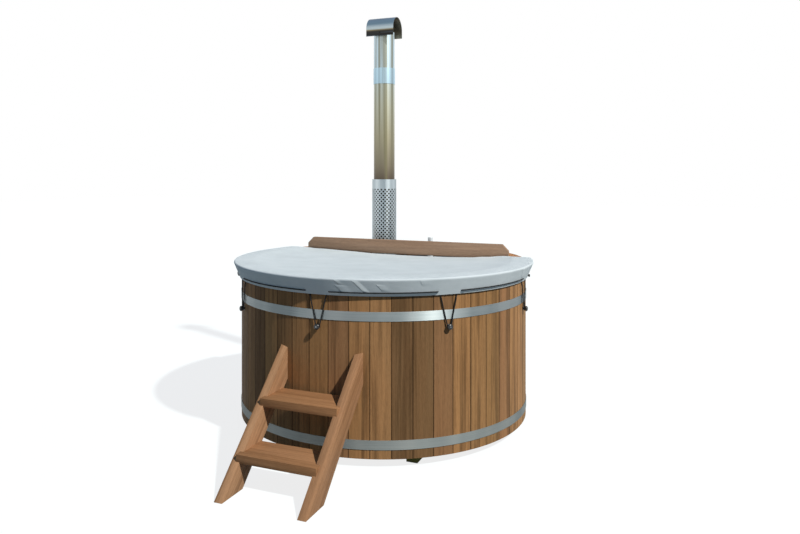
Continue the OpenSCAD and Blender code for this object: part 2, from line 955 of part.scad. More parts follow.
// Moves what is drawn on the origin to the chimney's axis
module on_flue(z) {
    translate([flue_x, stove_y, z])
        children();
}

module flue_collar() {
    socket_r = flue_r + snug;
    color("#aab0b3")
        on_flue(stove_top_z)
            difference() {
                union() {
                    cylinder(r = guard_r + 18, h = collar_t);
                    cylinder(r = socket_r + collar_wall, h = collar_h);
                }
                translate([0, 0, -1])
                    cylinder(r = socket_r, h = collar_h + 2);
            }
}

module heat_guard() {
    color("#b6c3ca")
        on_flue(0)
            difference() {
                translate([0, 0, guard_z])
                    pipe(guard_r, guard_wall, guard_top_z - guard_z);
                for (row = [0:hole_rows - 1], i = [0:hole_n - 1])
                    translate([0, 0, hole_top_z - row * hole_rise])
                        rotate([0, 90, (i + (row % 2) / 2) * 360 / hole_n])
                            translate([0, 0, guard_r - 4 * guard_wall])
                                cylinder(d = hole_d, h = 6 * guard_wall, $fn = 24);
            }
}

module guard_ring() {
    ring_h = 8;
    wall = guard_r - guard_wall - snug - flue_r - snug;
    color("#9aa7ae")
        on_flue(guard_top_z - ring_h)
            pipe(guard_r - guard_wall - snug, wall, ring_h);
}

module lower_flue() {
    color("#8f8a76")
        on_flue(stove_top_z)
            pipe(flue_r, flue_wall, flue_joint_z - 0.5 - stove_top_z);
}

module flue_sleeve() {
    color("#bcd3e2")
        on_flue(sleeve_z)
            pipe(sleeve_r, sleeve_wall, sleeve_h);
}

module upper_flue() {
    color("#b5c4cc")
        on_flue(flue_joint_z)
            pipe(flue_r, flue_wall, flue_top_z - flue_joint_z);
}

// Front of the rain hood's arch, drawn in Y and Z from its lower edge
module hood_arch(r, straight) {
    translate([0, straight])
        intersection() {
            circle(r);
            translate([-r, 0])
                square([2 * r, r]);
        }
    translate([-r, 0])
        square([2 * r, straight]);
}

module rain_hood() {
    straight = hood_h - hood_r;
    color("#55677a")
        on_flue(hood_z)
            translate([-hood_l / 2, 0, 0])
                rotate([90, 0, 90])
                    difference() {
                        linear_extrude(hood_l)
                            hood_arch(hood_r, straight);
                        translate([0, -1, -1])
                            linear_extrude(hood_l + 2)
                                hood_arch(hood_wall_y, straight + 1);
                        for (z = spacer_levels)
                            translate([0, z - hood_z, hood_l / 2])
                                rotate([0, 90, 0])
                                    cylinder(d = 6.4, h = 3 * hood_r, center = true, $fn = 32);
                    }
}

// Places what is drawn at each spacer, with +Z pointing out of the hood's side
module each_spacer() {
    for (side = [-1, 1], z = spacer_levels)
        on_flue(z)
            rotate([-90 * side, 0, 0])
                children();
}

module hood_spacers() {
    color("#7d8488")
        each_spacer()
            translate([0, 0, flue_r + 0.2])
                difference() {
                    cylinder(d = spacer_d, h = hood_wall_y - flue_r - 0.2, $fn = 48);
                    translate([0, 0, 2])
                        cylinder(d = 6.4, h = hood_r, $fn = 32);
                }
}

module hood_screws() {
    color("#8a9094")
        each_spacer() {
            translate([0, 0, flue_r + 0.2 + 2])
                cylinder(d = 6, h = hood_r - flue_r - 2.2, $fn = 32);
            translate([0, 0, hood_r])
                cylinder(d = 11, h = 3, $fn = 32);
        }
}

// --- Cover and shock cord ---

// Height of the cover's top over its rim at radius r: the middle hangs free and sags
function cover_dip(r) = r > rim_in_r ? 0 : sag * (1 - pow(r / rim_in_r, 2));

module cover_profile() {
    steps = 8;
    under = cover_top_z - cover_t;
    dip_r = [for (i = [0:steps]) rim_in_r * i / steps];
    edge = bulge_r - skirt_t;
    polygon(concat(
        [for (r = dip_r) [r, cover_top_z - cover_dip(r)]],
        [[bulge_r - 16, cover_top_z], [bulge_r - 7, cover_top_z - 2],
         [bulge_r - 2, cover_top_z - 6], [bulge_r, bulge_z],
         [hem_r, hem_z], [hem_in_r, hem_z],
         [edge, bulge_z], [edge - 2, under - 1], [edge - 6, under]],
        [for (i = [steps:-1:0]) [dip_r[i], under - cover_dip(dip_r[i])]]
    ));
}

// Places what is drawn at each hole that the cord takes through the skirt
module each_eye() {
    for (k = knob_azimuths, side = [-1, 1])
        at_azimuth(k + side * eye_angle)
            children();
}

module cover() {
    color("#c3ccd1")
        difference() {
            rotate_extrude()
                cover_profile();
            translate([-through / 2, cover_back_y, 0])
                cube([through, through, through]);
            each_eye()
                translate([0, -tub_r, run_z])
                    rotate([90, 0, 0])
                        cylinder(d = cord_d + eye_fit, h = through, $fn = 32);
        }
}

// A route point in space
function on_wall(p) = let (a = p[0] / p[1] * 180 / PI) [p[1] * sin(a), -p[1] * cos(a), p[2]];

// The same, with the length along the wall measured at the outside runs
function on_wall_at(p) = let (a = p[0] / run_r * 180 / PI) [p[1] * sin(a), -p[1] * cos(a), p[2]];

function unit(v) = v / norm(v);

// A tube swept along points, turned by a direction that it never follows: up, or out of the wall
module swept_cord(points, r, sides, up_is_z = false) {
    n = len(points);
    rings = [for (i = [0:n - 1])
        let (ahead = points[min(i + 1, n - 1)], behind = points[max(i - 1, 0)],
             along = unit(ahead - behind),
             out = up_is_z ? [0, 0, 1] : unit([points[i][0], points[i][1], 0]),
             side = unit(cross(along, out)),
             up = cross(side, along))
        for (j = [0:sides - 1])
            points[i] + r * (cos(j * 360 / sides) * up + sin(j * 360 / sides) * side)];
    polyhedron(rings, concat(
        [[for (j = [0:sides - 1]) j]],
        [for (i = [0:n - 2], j = [0:sides - 1])
            [i * sides + j, (i + 1) * sides + j, (i + 1) * sides + (j + 1) % sides,
             i * sides + (j + 1) % sides]],
        [[for (j = [sides - 1:-1:0]) (n - 1) * sides + j]]
    ));
}

// The end of the cord: it comes out through the skirt and is stopped by a knot
module cord_end() {
    knot_r = cord_d;
    centre = eye_r + 2 * snug + knot_r - stub_in_r;
    rotate([90, 0, 0])
        rotate_extrude($fn = 32)
            polygon(concat(
                [[0, 0], [cord_r, 0]],
                [for (a = [-60:15:90]) [knot_r * cos(a), centre + knot_r * sin(a)]]
            ));
}

// The outside runs between two knobs, whose ends bend in through the skirt, and the two knotted ends
module cord_runs() {
    run_half = (knob_step - 2 * eye_angle) / 2 * PI / 180 * run_r;
    run_steps = 14;
    half_route = concat(
        [for (i = [0:run_steps / 2]) [2 * i / run_steps * (run_half - run_bend), run_r, run_z]],
        [for (a = [60, 30, 0])
            [run_half - run_bend * (1 - cos(a)), run_r - run_bend * (1 - sin(a)), run_z]],
        [[run_half, stub_in_r, run_z]]
    );
    last = len(half_route) - 1;
    route = concat([for (i = [last:-1:1]) [-half_route[i][0], half_route[i][1], run_z]], half_route);
    color("#23272b") {
        for (k = [-1.5:1:1.5])
            at_azimuth(k * knob_step)
                swept_cord([for (p = route) on_wall_at(p)], cord_r, 8, up_is_z = true);
        for (side = [-1, 1])
            at_azimuth(side * (2 * knob_step + eye_angle))
                translate([0, -stub_in_r, run_z])
                    cord_end();
    }
}

module cord_loops() {
    color("#23272b")
        for (k = knob_azimuths)
            at_azimuth(k)
                swept_cord([for (p = loop_route) on_wall(p)], cord_r, 8);
}

module cord_knobs() {
    head_z = knob_foot_t + knob_stem_l;
    top_z = head_z + knob_head_h;
    r = knob_d / 2;
    color("#1d1f21")
        for (k = knob_azimuths)
            at_azimuth(k)
                translate([0, -knob_seat_r, knob_z])
                    rotate([90, 0, 0])
                        rotate_extrude()
                            polygon([[knob_screw_d / 2 + 0.1, 0], [knob_stem_r + 6, 0],
                                     [knob_stem_r + 6, 1.5], [knob_stem_r, knob_foot_t],
                                     [knob_stem_r, head_z], [r - 3, head_z],
                                     [r, head_z + 3], [r, top_z - 6], [r - 2.5, top_z - 2.5],
                                     [r - 7, top_z], [5.5, top_z], [5.5, top_z - knob_recess],
                                     [knob_screw_d / 2 + 0.1, top_z - knob_recess]]);
}

module knob_screws() {
    head_z = knob_foot_t + knob_stem_l + knob_head_h - knob_recess;
    color("#c9ced1")
        for (k = knob_azimuths)
            at_azimuth(k)
                translate([0, -knob_seat_r, knob_z])
                    rotate([90, 0, 0]) {
                        translate([0, 0, -knob_screw_in + 2])
                            cylinder(d = knob_screw_d, h = head_z + knob_screw_in - 2, $fn = 32);
                        translate([0, 0, head_z])
                            cylinder(d = 10, h = 3, $fn = 32);
                    }
}

// --- Ladder ---

// Side view of a stringer, drawn in Y and Z: the foot is level and the top runs on into the wall
module stringer_side() {
    inside_v = tub_in_r - stringer_run;
    polygon([[-front_foot_v, 0], [-back_foot_v, 0],
             [-inside_v, (back_foot_v - inside_v) * slope],
             [-inside_v, (front_foot_v - inside_v) * slope]]);
}

// A tread; the same block, grown by its fit, cuts the housings
module tread(top_z, extra) {
    front_v = front_foot_v - top_z / slope + nose;
    translate([-tread_half - extra, -front_v, top_z - tread_t - extra])
        cube([2 * (tread_half + extra), tread_w, tread_t + 2 * extra]);
}

module stringer(side) {
    difference() {
        translate([side > 0 ? stringer_in : -ladder_half, 0, 0])
            rotate([90, 0, 90])
                linear_extrude(stringer_t)
                    stringer_side();
        cylinder(r = tub_r + snug, h = 3 * tub_r, $fn = tub_fn);
        for (z = [tread_low_z, tread_up_z])
            tread(z, housing_fit);
        translate([side * ladder_screw_x, -tub_r - ladder_screw_reach - 2, ladder_screw_z])
            rotate([-90, 0, 0])
                cylinder(d = ladder_screw_d + 0.2, h = tub_r, $fn = 32);
    }
}

module left_stringer() {
    color("#a4764c")
        stringer(-1);
}

module right_stringer() {
    color("#a4764c")
        stringer(1);
}

module lower_tread() {
    color("#a67a50")
        tread(tread_low_z, 0);
}

module upper_tread() {
    color("#a67a50")
        tread(tread_up_z, 0);
}

// Screws from inside the tub through the wall into the tops of the stringers
module ladder_screws() {
    inside_v = sqrt(pow(tub_in_r, 2) - pow(ladder_screw_x + ladder_screw_d, 2)) - snug;
    color("#c2c6c8")
        for (side = [-1, 1])
            translate([side * ladder_screw_x, -inside_v, ladder_screw_z])
                rotate([90, 0, 0]) {
                    cylinder(d = ladder_screw_d, h = tub_r + ladder_screw_reach - inside_v, $fn = 32);
                    translate([0, 0, -ladder_head_t])
                        cylinder(d = ladder_screw_d * 2, h = ladder_head_t, $fn = 32);
                }
}

// --- Drain ---

// Turns what is drawn along +Z to the drain's axis, which runs out along +Y
module on_drain(y) {
    translate([0, y, drain_z])
        rotate([-90, 0, 0])
            children();
}

module drain_tube() {
    inner_y = drain_seal_y - drain_collar_t;
    color("#c9a35c")
        on_drain(inner_y)
            difference() {
                union() {
                    cylinder(d = drain_collar_d, h = drain_collar_t);
                    cylinder(d = drain_d, h = valve_y - valve_l / 2 + 14 - inner_y);
                }
                translate([0, 0, -1])
                    cylinder(d = drain_bore, h = valve_y);
            }
}

module drain_seal() {
    color("#202223")
        on_drain(drain_seal_y)
            difference() {
                cylinder(d = drain_collar_d - 4, h = drain_seal_t);
                translate([0, 0, -1])
                    cylinder(d = drain_d + 0.4, h = drain_seal_t + 2);
            }
}

module drain_nut() {
    color("#c9a35c")
        on_drain(tub_r + snug)
            difference() {
                cylinder(d = drain_d + 18, h = drain_nut_t, $fn = 6);
                translate([0, 0, -1])
                    cylinder(d = drain_d + 0.2, h = drain_nut_t + 2);
            }
}

module valve_body() {
    color("#b8bdbf")
        difference() {
            union() {
                on_drain(valve_y - valve_l / 2)
                    cylinder(d = valve_d, h = valve_l);
                on_drain(tail_y)
                    cylinder(d = tail_d, h = tail_l);
                translate([0, valve_y, drain_z])
                    cylinder(d = 2 * stem_d, h = neck_top_z - drain_z, $fn = 48);
            }
            on_drain(valve_y - valve_l / 2 - 1)
                cylinder(d = drain_d + 0.2, h = 16);
            on_drain(valve_y - valve_l / 2)
                cylinder(d = drain_bore, h = valve_l + tail_l + 1);
            translate([0, valve_y, drain_z])
                cylinder(d = stem_d + stem_fit, h = valve_d, $fn = 48);
        }
}

// The stem and the disc that shuts the bore; the disc stands across the bore at rest
module valve_stem() {
    disc_t = 3;
    color("#d8c48c")
        translate([0, valve_y, drain_z]) {
            rotate([90, 0, 0])
                cylinder(d = drain_bore - 2 * snug, h = disc_t, center = true, $fn = 48);
            cylinder(d = stem_d, h = stem_top_z - drain_z, $fn = 48);
        }
}

module valve_lever() {
    tip_r = 8;
    color("#a33b2e")
        difference() {
            translate([0, valve_y, lever_z])
                linear_extrude(lever_t) {
                    circle(r = 1.5 * tip_r, $fn = 48);
                    translate([0, -tip_r])
                        square([lever_l - tip_r, 2 * tip_r]);
                    translate([lever_l - tip_r, 0])
                        circle(r = tip_r, $fn = 48);
                }
            translate([0, valve_y, lever_z - 1])
                cylinder(d = stem_d + stem_fit, h = lever_t + 2, $fn = 48);
        }
}

module lever_nut() {
    color("#c9ced1")
        translate([0, valve_y, lever_z + lever_t])
            difference() {
                cylinder(d = 1.8 * stem_d, h = lever_nut_t, $fn = 6);
                translate([0, 0, -1])
                    cylinder(d = stem_d + stem_fit, h = lever_nut_t + 2, $fn = 48);
            }
}

base_beams();
floor_boards();
staves();
lower_hoop();
upper_hoop();
hoop_bolts();
rim_boards();
fence_plank();
fence_boards();
fence_posts();
fence_screws();
bench_slats();
bench_bearers();
bench_legs();
stove_feet();
stove_body();
stove_gasket();
stove_top();
stove_bolts();
fire_grate();
lid_rails();
lid_stop();
fuel_lid();
lid_handle();
handle_cap();
lid_bolts();
flue_collar();
heat_guard();
guard_ring();
lower_flue();
flue_sleeve();
upper_flue();
rain_hood();
hood_spacers();
hood_screws();
cover();
cord_runs();
cord_loops();
cord_knobs();
knob_screws();
left_stringer();
right_stringer();
lower_tread();
upper_tread();
ladder_screws();
drain_tube();
drain_seal();
drain_nut();
valve_body();
valve_stem();
valve_lever();
lever_nut();
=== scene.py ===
# %% [markdown]
# # A round wooden hot tub
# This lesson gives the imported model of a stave-built hot tub its looks. The model already holds every
# piece at its real size, so it is loaded first and nothing in it is moved. What is added here is what a
# joiner, a tinsmith and a sailmaker would add: eased wooden edges, a punched and rolled heat guard, a
# sewn cover with its elastic cord, and a finish for every surface. Lengths are in metres, and angles in
# radians, where nothing else is said.

# %% Load the model
import math

import bpy
import numpy as np
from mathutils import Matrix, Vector


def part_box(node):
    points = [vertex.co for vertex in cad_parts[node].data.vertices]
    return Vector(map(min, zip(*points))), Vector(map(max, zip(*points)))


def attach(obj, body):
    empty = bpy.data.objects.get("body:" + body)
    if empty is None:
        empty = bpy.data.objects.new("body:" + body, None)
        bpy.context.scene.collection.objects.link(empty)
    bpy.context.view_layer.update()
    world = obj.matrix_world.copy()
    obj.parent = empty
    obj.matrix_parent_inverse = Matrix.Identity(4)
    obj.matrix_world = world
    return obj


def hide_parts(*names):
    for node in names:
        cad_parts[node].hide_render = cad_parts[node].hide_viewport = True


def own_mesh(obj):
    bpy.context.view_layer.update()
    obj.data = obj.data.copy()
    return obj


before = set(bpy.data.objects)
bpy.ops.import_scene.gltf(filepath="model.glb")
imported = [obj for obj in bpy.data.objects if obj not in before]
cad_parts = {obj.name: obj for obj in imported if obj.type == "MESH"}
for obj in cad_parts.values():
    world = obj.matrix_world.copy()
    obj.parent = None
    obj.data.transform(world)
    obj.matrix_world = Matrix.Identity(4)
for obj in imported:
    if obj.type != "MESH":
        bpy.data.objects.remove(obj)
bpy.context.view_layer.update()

print("pieces in the model:", len(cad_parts))

# %% [markdown]
# ## The camera
# The photograph was taken from a little over head height, to the right of the ladder. The lens is found
# from how wide the tub looks at that distance. The photograph is a crop of a larger frame, so the lens
# is shifted instead of tilted, and upright lines stay upright.

# %% Camera
PHOTO_WIDTH = 800
PHOTO_HEIGHT = 534
LENS_PX = 715.9  # focal length, in pixels of the photograph
LEVEL_POINT_PX = (383.75, 170.15)  # the pixel straight ahead of the lens, at its height
CAMERA_DISTANCE = 4.883
CAMERA_HEIGHT = 1.642
CAMERA_AZIMUTH = math.radians(22.64)
SENSOR_MM = 36

camera_data = bpy.data.cameras.new("camera")
camera = bpy.data.objects.new("camera", camera_data)
bpy.context.scene.collection.objects.link(camera)
camera.location = (CAMERA_DISTANCE * math.sin(CAMERA_AZIMUTH),
                   -CAMERA_DISTANCE * math.cos(CAMERA_AZIMUTH), CAMERA_HEIGHT)
camera.rotation_euler = (math.radians(90), 0, CAMERA_AZIMUTH)
camera_data.sensor_width = SENSOR_MM
camera_data.lens = LENS_PX * SENSOR_MM / PHOTO_WIDTH
camera_data.shift_x = (PHOTO_WIDTH / 2 - LEVEL_POINT_PX[0]) / PHOTO_WIDTH
camera_data.shift_y = (LEVEL_POINT_PX[1] - PHOTO_HEIGHT / 2) / PHOTO_WIDTH
bpy.context.scene.camera = camera
print("lens", round(camera_data.lens, 2), "mm")

# %% [markdown]
# ## Sizes
# The few pieces that are made here again, such as the cover and its cord, have to fit the rest, so they
# follow the sizes that the model itself is built from. One value is this script's own: the cover sags
# 45 mm in the model and 27 mm here, because the photograph shows it that flat.

# %% Sizes of the tub
RIM_IN_R = 0.872
HEM_Z = 0.9494
HEM_R = 0.962
COVER_TOP = 1.0524
COVER_BULGE_R = 1.000
COVER_BULGE_Z = 1.0404
COVER_BACK_Y = 0.345
COVER_SAG = 0.027
CORD_D = 0.007
CORD_R = CORD_D / 2
CORD_RUN_Z = 0.9694
CORD_RUN_R = 0.9746
CORD_IN_R = 0.9613
KNOB_AZIMUTHS = [math.radians(a) for a in (-90, -45, 0, 45, 90)]
EYE_ANGLE = math.radians(4.35)
FLUE_X = -0.246
FLUE_Y = 0.600


def on_wall(azimuth, radius, z):
    """A point by its azimuth, counted from the ladder towards +X, its distance out and its height."""
    return Vector((radius * math.sin(azimuth), -radius * math.cos(azimuth), z))


print("cover:", 2 * COVER_BULGE_R, "m wide, with its top", COVER_TOP, "m above the ground")

# %% [markdown]
# ## Small helpers
# Nothing may stay selected when a new piece is made, because an operator acts on all that is selected.
# A colour is written as on a paint card and turned to the linear light that Blender counts in.

# %% Helpers: selection and colour

def linear(card):
    """Linear RGBA of an sRGB hex colour."""
    parts = [int(card[i:i + 2], 16) / 255 for i in (1, 3, 5)]
    return [c / 12.92 if c <= 0.04045 else ((c + 0.055) / 1.055) ** 2.4 for c in parts] + [1.0]


def deselect():
    """Leaves edit mode and deselects everything."""
    if bpy.context.object and bpy.context.object.mode != "OBJECT":
        bpy.ops.object.mode_set(mode="OBJECT")
    bpy.ops.object.select_all(action="DESELECT")


def pick(obj):
    """Selects one object alone and makes it the active one."""
    deselect()
    obj.select_set(True)
    bpy.context.view_layer.objects.active = obj


print("middle grey is", round(linear("#808080")[0], 3), "of full light")

# %% [markdown]
# A finish is a tree of nodes, and building one by hand takes three lines for each node: make it, set it,
# wire it. One helper does all three. Sockets are given by name, or by number where several share a
# name: a Math node's values are 0, 1 and 2, and a Mix node's colours are 6 and 7. The scale of a noise
# is how many of its grains fit in a metre, so 500 stands for grains of 2 mm.

# %% Helpers: nodes and finishes
def add(tree, kind, inputs=None, stops=None, **settings):
    """Adds a node. Inputs are values or other nodes' outputs by socket; stops are a ramp's colours."""
    node = tree.nodes.new("ShaderNode" + kind)
    for name, value in settings.items():
        setattr(node, name, value)
    for name, value in (inputs or {}).items():
        if isinstance(value, bpy.types.NodeSocket):
            tree.links.new(value, node.inputs[name])
        else:
            node.inputs[name].default_value = value
    if stops:
        ramp = node.color_ramp.elements
        while len(ramp) < len(stops):
            ramp.new(1.0)
        for element, (place, colour) in zip(ramp, stops):
            element.position = place
            element.color = linear(colour) if isinstance(colour, str) else (colour, colour, colour, 1)
    return node


def new_material(name):
    """An empty material, its tree, its shader and its coordinates."""
    material = bpy.data.materials.new(name)
    material.use_nodes = True
    tree = material.node_tree
    shader = tree.nodes["Principled BSDF"]
    place = add(tree, "TexCoord").outputs["Object"]
    return material, tree, shader, place


def coat(material, *objects):
    """Gives a finish to pieces, or to nodes of the model by their names."""
    for obj in objects:
        if isinstance(obj, str):
            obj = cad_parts[obj]
        if not obj.material_slots:
            obj.data.materials.append(None)
        for slot in obj.material_slots:
            slot.material = material


print("finishes so far:", len(bpy.data.materials))

# %% [markdown]
# ## The shock cord
# A shock cord is a bundle of rubber threads in a braided nylon sleeve, 7 mm thick. It runs along the
# outside of the cover's skirt, goes in through a hole beside each knob, and comes down from under the
# hem in a V that is hooked over the knob. It is held all the way, so its route is fixed. It is drawn
# as smooth curves with a round section, because a curve keeps one thickness round every bend, and each
# curve is then made a mesh. A point of the route is written as its distance along the wall from the
# knob, its distance from the tub's axis and its height, all in millimetres.

# %% Cord: the loops
LOOP_HALF_ROUTE = [(0, 960.8, 760), (5, 960.8, 761.3), (8.66, 960.8, 765), (9.74, 960.8, 767.7),
                   (16.1, 959.8, 795), (26.6, 958.2, 840.4), (35.1, 957.3, 876.7), (43.5, 957.3, 913.1),
                   (52, 954.25, 949.4), (58, 955.25, 961.0), (71, 956.5, 966.4), (74, 957.5, 975.4)]


def wall_route(azimuth, points):
    """Points along the wall, in millimetres, as places in the frame, in metres."""
    return [on_wall(azimuth + a / r, r / 1000, z / 1000) for a, r, z in points]


def round_cord(name, routes):
    """One mesh of round cords that follow smooth curves through the points of their routes."""
    curve = bpy.data.curves.new(name, "CURVE")
    curve.dimensions = "3D"
    curve.bevel_depth = CORD_R
    curve.bevel_resolution = 3
    curve.use_fill_caps = True
    curve.resolution_u = 3
    for route in routes:
        spline = curve.splines.new("BEZIER")
        spline.bezier_points.add(len(route) - 1)
        for point, place in zip(spline.bezier_points, route):
            point.co = place
            point.handle_left_type = point.handle_right_type = "AUTO"
    obj = bpy.data.objects.new(name, curve)
    bpy.context.scene.collection.objects.link(obj)
    pick(obj)
    bpy.ops.object.convert(target="MESH")
    obj = bpy.context.object
    bpy.ops.object.shade_smooth()
    print(name, len(routes), "lengths,", len(obj.data.polygons), "faces")
    return obj


loop_points = [(-a, r, z) for a, r, z in reversed(LOOP_HALF_ROUTE[1:])] + LOOP_HALF_ROUTE
loops = round_cord("shock_cord_loops", [wall_route(k, loop_points) for k in KNOB_AZIMUTHS])

# %% [markdown]
# Between two knobs the cord lies straight along the outside of the skirt. Each of its two ends comes out
# of the last hole at the back and is tied in an overhand knot, so that it can't slip back. A knot is
# hard to draw point by point, but a trefoil curve is an overhand knot by its formula, so that is used.

# %% Cord: outside runs and end knots
RUN_BEND = 0.004
RUN_STEPS = 24
KNOT_R = 0.9787
KNOT_SIZE = 0.0021
KNOT_DEPTH = 1.1
KNOT_STEPS = 30
KNOT_OPEN = 3  # steps left out at each side of the start, where the cord goes in and ends


def outside_run(first, last):
    """A run between two holes: straight out through the skirt, round a tight bend, and along it."""
    turn = RUN_BEND / CORD_RUN_R
    inside = [on_wall(first, CORD_IN_R, CORD_RUN_Z), on_wall(first, CORD_RUN_R - RUN_BEND, CORD_RUN_Z)]
    outside = [on_wall(last, CORD_RUN_R - RUN_BEND, CORD_RUN_Z), on_wall(last, CORD_IN_R, CORD_RUN_Z)]
    along = [on_wall(first + turn + (last - first - 2 * turn) * i / RUN_STEPS, CORD_RUN_R, CORD_RUN_Z)
             for i in range(RUN_STEPS + 1)]
    return inside + along + outside


def end_knot(azimuth):
    """The cord's end outside the skirt: it comes out of its hole and is tied in an overhand knot."""
    centre = on_wall(azimuth, KNOT_R, CORD_RUN_Z)
    out = Vector((math.sin(azimuth), -math.cos(azimuth), 0))
    side = Vector((math.cos(azimuth), math.sin(azimuth), 0))
    up = Vector((0, 0, 1))
    turns = [2 * math.pi * i / KNOT_STEPS for i in range(KNOT_OPEN, KNOT_STEPS - KNOT_OPEN + 1)]
    loop = [centre + KNOT_SIZE * ((math.sin(t) + 2 * math.sin(2 * t)) * side
                                  + (math.cos(t) - 2 * math.cos(2 * t)) * up
                                  - KNOT_DEPTH * math.sin(3 * t) * out) for t in turns]
    return [on_wall(azimuth, CORD_IN_R, CORD_RUN_Z)] + loop


runs = round_cord("shock_cord_runs", [outside_run(a + EYE_ANGLE, b - EYE_ANGLE)
                                      for a, b in zip(KNOB_AZIMUTHS, KNOB_AZIMUTHS[1:])]
                  + [end_knot(KNOB_AZIMUTHS[0] - EYE_ANGLE), end_knot(KNOB_AZIMUTHS[-1] + EYE_ANGLE)])
for cord, node in ((loops, "cord_loops"), (runs, "cord_runs")):
    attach(cord, "cover")
    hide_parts(node)
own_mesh(loops)

# %% [markdown]
# ## The cover
# The real cover is coated fabric over a thin quilt, cut as a disc with a straight back edge and a skirt
# sewn round it. The rim carries it, its middle hangs free and sags, and the cord pulls its hem in under
# the rim. It starts as a disc of even squares, because fans of long triangles would not fold like cloth.
# Rings are then drawn out of its border for the rim, the rounded edge and the skirt, and the back is
# cut off straight.

# %% Cover: cut and sewn
DISC_R = 0.40
DISC_POINTS = 128
COVER_RINGS = [0.47, 0.54, 0.61, 0.68, 0.745, 0.80, 0.845, RIM_IN_R, 0.905, 0.940]
ROUNDING = [(0.986, 1.0524), (0.994, 1.0507), (0.9988, 1.0466), (COVER_BULGE_R, COVER_BULGE_Z)]
SKIRT_STEPS = [0.2, 0.4, 0.6, 0.78, 0.9, 1.0]
SKIRT = [(COVER_BULGE_R + (HEM_R - COVER_BULGE_R) * t, COVER_BULGE_Z + (HEM_Z - COVER_BULGE_Z) * t)
         for t in SKIRT_STEPS]
CUT_WELD = 0.004  # points that the straight cut leaves nearer than this are made one


def cover_height(radius):
    """The height of the cover's top at a distance from the axis; the middle hangs free."""
    if radius > RIM_IN_R:
        return COVER_TOP
    return COVER_TOP - COVER_SAG * (1 - (radius / RIM_IN_R) ** 2)


def draw_out(ratio, drop):
    """Draws one more ring out of the border that is selected in edit mode."""
    bpy.ops.mesh.extrude_region_move(TRANSFORM_OT_translate={"value": (0, 0, drop)})
    bpy.ops.transform.resize(value=(ratio, ratio, 1))


deselect()
bpy.ops.mesh.primitive_circle_add(vertices=DISC_POINTS, radius=DISC_R, fill_type="NOTHING",
                                  location=(0, 0, 0))
cover = bpy.context.object
cover.name = "fabric_cover"
bpy.ops.object.mode_set(mode="EDIT")
bpy.ops.mesh.select_all(action="SELECT")
bpy.ops.mesh.fill_grid(span=DISC_POINTS // 4)
bpy.ops.mesh.select_all(action="SELECT")
bpy.ops.mesh.region_to_loop()
radius = DISC_R
for ring in COVER_RINGS:
    draw_out(ring / radius, 0)
    radius = ring
bpy.ops.object.mode_set(mode="OBJECT")
for vert in cover.data.vertices:
    vert.co.z = cover_height(math.hypot(vert.co.x, vert.co.y))
bpy.ops.object.mode_set(mode="EDIT")
height = COVER_TOP
for ring, level in ROUNDING + SKIRT:
    draw_out(ring / radius, level - height)
    radius, height = ring, level
bpy.ops.mesh.select_all(action="SELECT")
bpy.ops.mesh.normals_make_consistent(inside=False)
bpy.ops.mesh.bisect(plane_co=(0, COVER_BACK_Y, 0), plane_no=(0, 1, 0), clear_outer=True)
bpy.ops.mesh.select_all(action="SELECT")
bpy.ops.mesh.remove_doubles(threshold=CUT_WELD)
bpy.ops.mesh.subdivide(number_cuts=1)
bpy.ops.object.mode_set(mode="OBJECT")
sewn = np.array([v.co for v in cover.data.vertices])
print("cover:", len(sewn), "points before it hangs")

# %% [markdown]
# A cloth simulation needs to know what holds the cloth. The rim boards carry the cover all round, the
# cord presses on the skirt and is fast where it goes through a hole, the hem is sewn stiff, and the two
# ends of the back edge lie on the rim. All the rest is free.

# %% Cover: what holds it
TOP_DEPTH = 0.02  # what is less than this under the highest point counts as the top
RIM_FROM_R, RIM_TO_R = 0.87, 0.96
CORD_REACH = 0.012
EYE_REACH = 0.016
BACK_REACH = 0.004
BACK_HELD_R = 0.86


def grip(point):
    """How firmly a point of the cover is held, from 0 where it is free to 1 where it is fixed."""
    out = math.hypot(point[0], point[1])
    azimuth = math.atan2(point[0], -point[1])
    on_top = point[2] > COVER_TOP - TOP_DEPTH
    near_eye = min(abs(abs(azimuth - k) - EYE_ANGLE) for k in KNOB_AZIMUTHS) < EYE_REACH
    if on_top and RIM_FROM_R < out < RIM_TO_R:
        return 0.9
    if abs(point[2] - CORD_RUN_Z) < CORD_REACH and not on_top:
        return 1.0 if near_eye else 0.95
    if point[2] < CORD_RUN_Z:
        return 0.9
    if point[1] > COVER_BACK_Y - BACK_REACH and out > BACK_HELD_R:
        return 1.0
    return 0.0


grips = [grip(point) for point in sewn]
print("cover:", len(grips) - grips.count(0.0), "points held and", grips.count(0.0), "free")

# %% [markdown]
# The cloth is then let go for a moment, and its free middle and back edge settle. The sag is already
# drawn, and this adds the small uneven waves that a hand wouldn't draw. The quilt inside makes the cloth
# stiff and carries most of its weight, so only a tenth of the weight is left to pull it down.
# No point may end far from where it was sewn, because the model's size is fixed.

# %% Cover: hung
WEIGHT_SHARE = 0.1
SETTLE_FRAMES = 24
SETTLE_CAP = 0.006

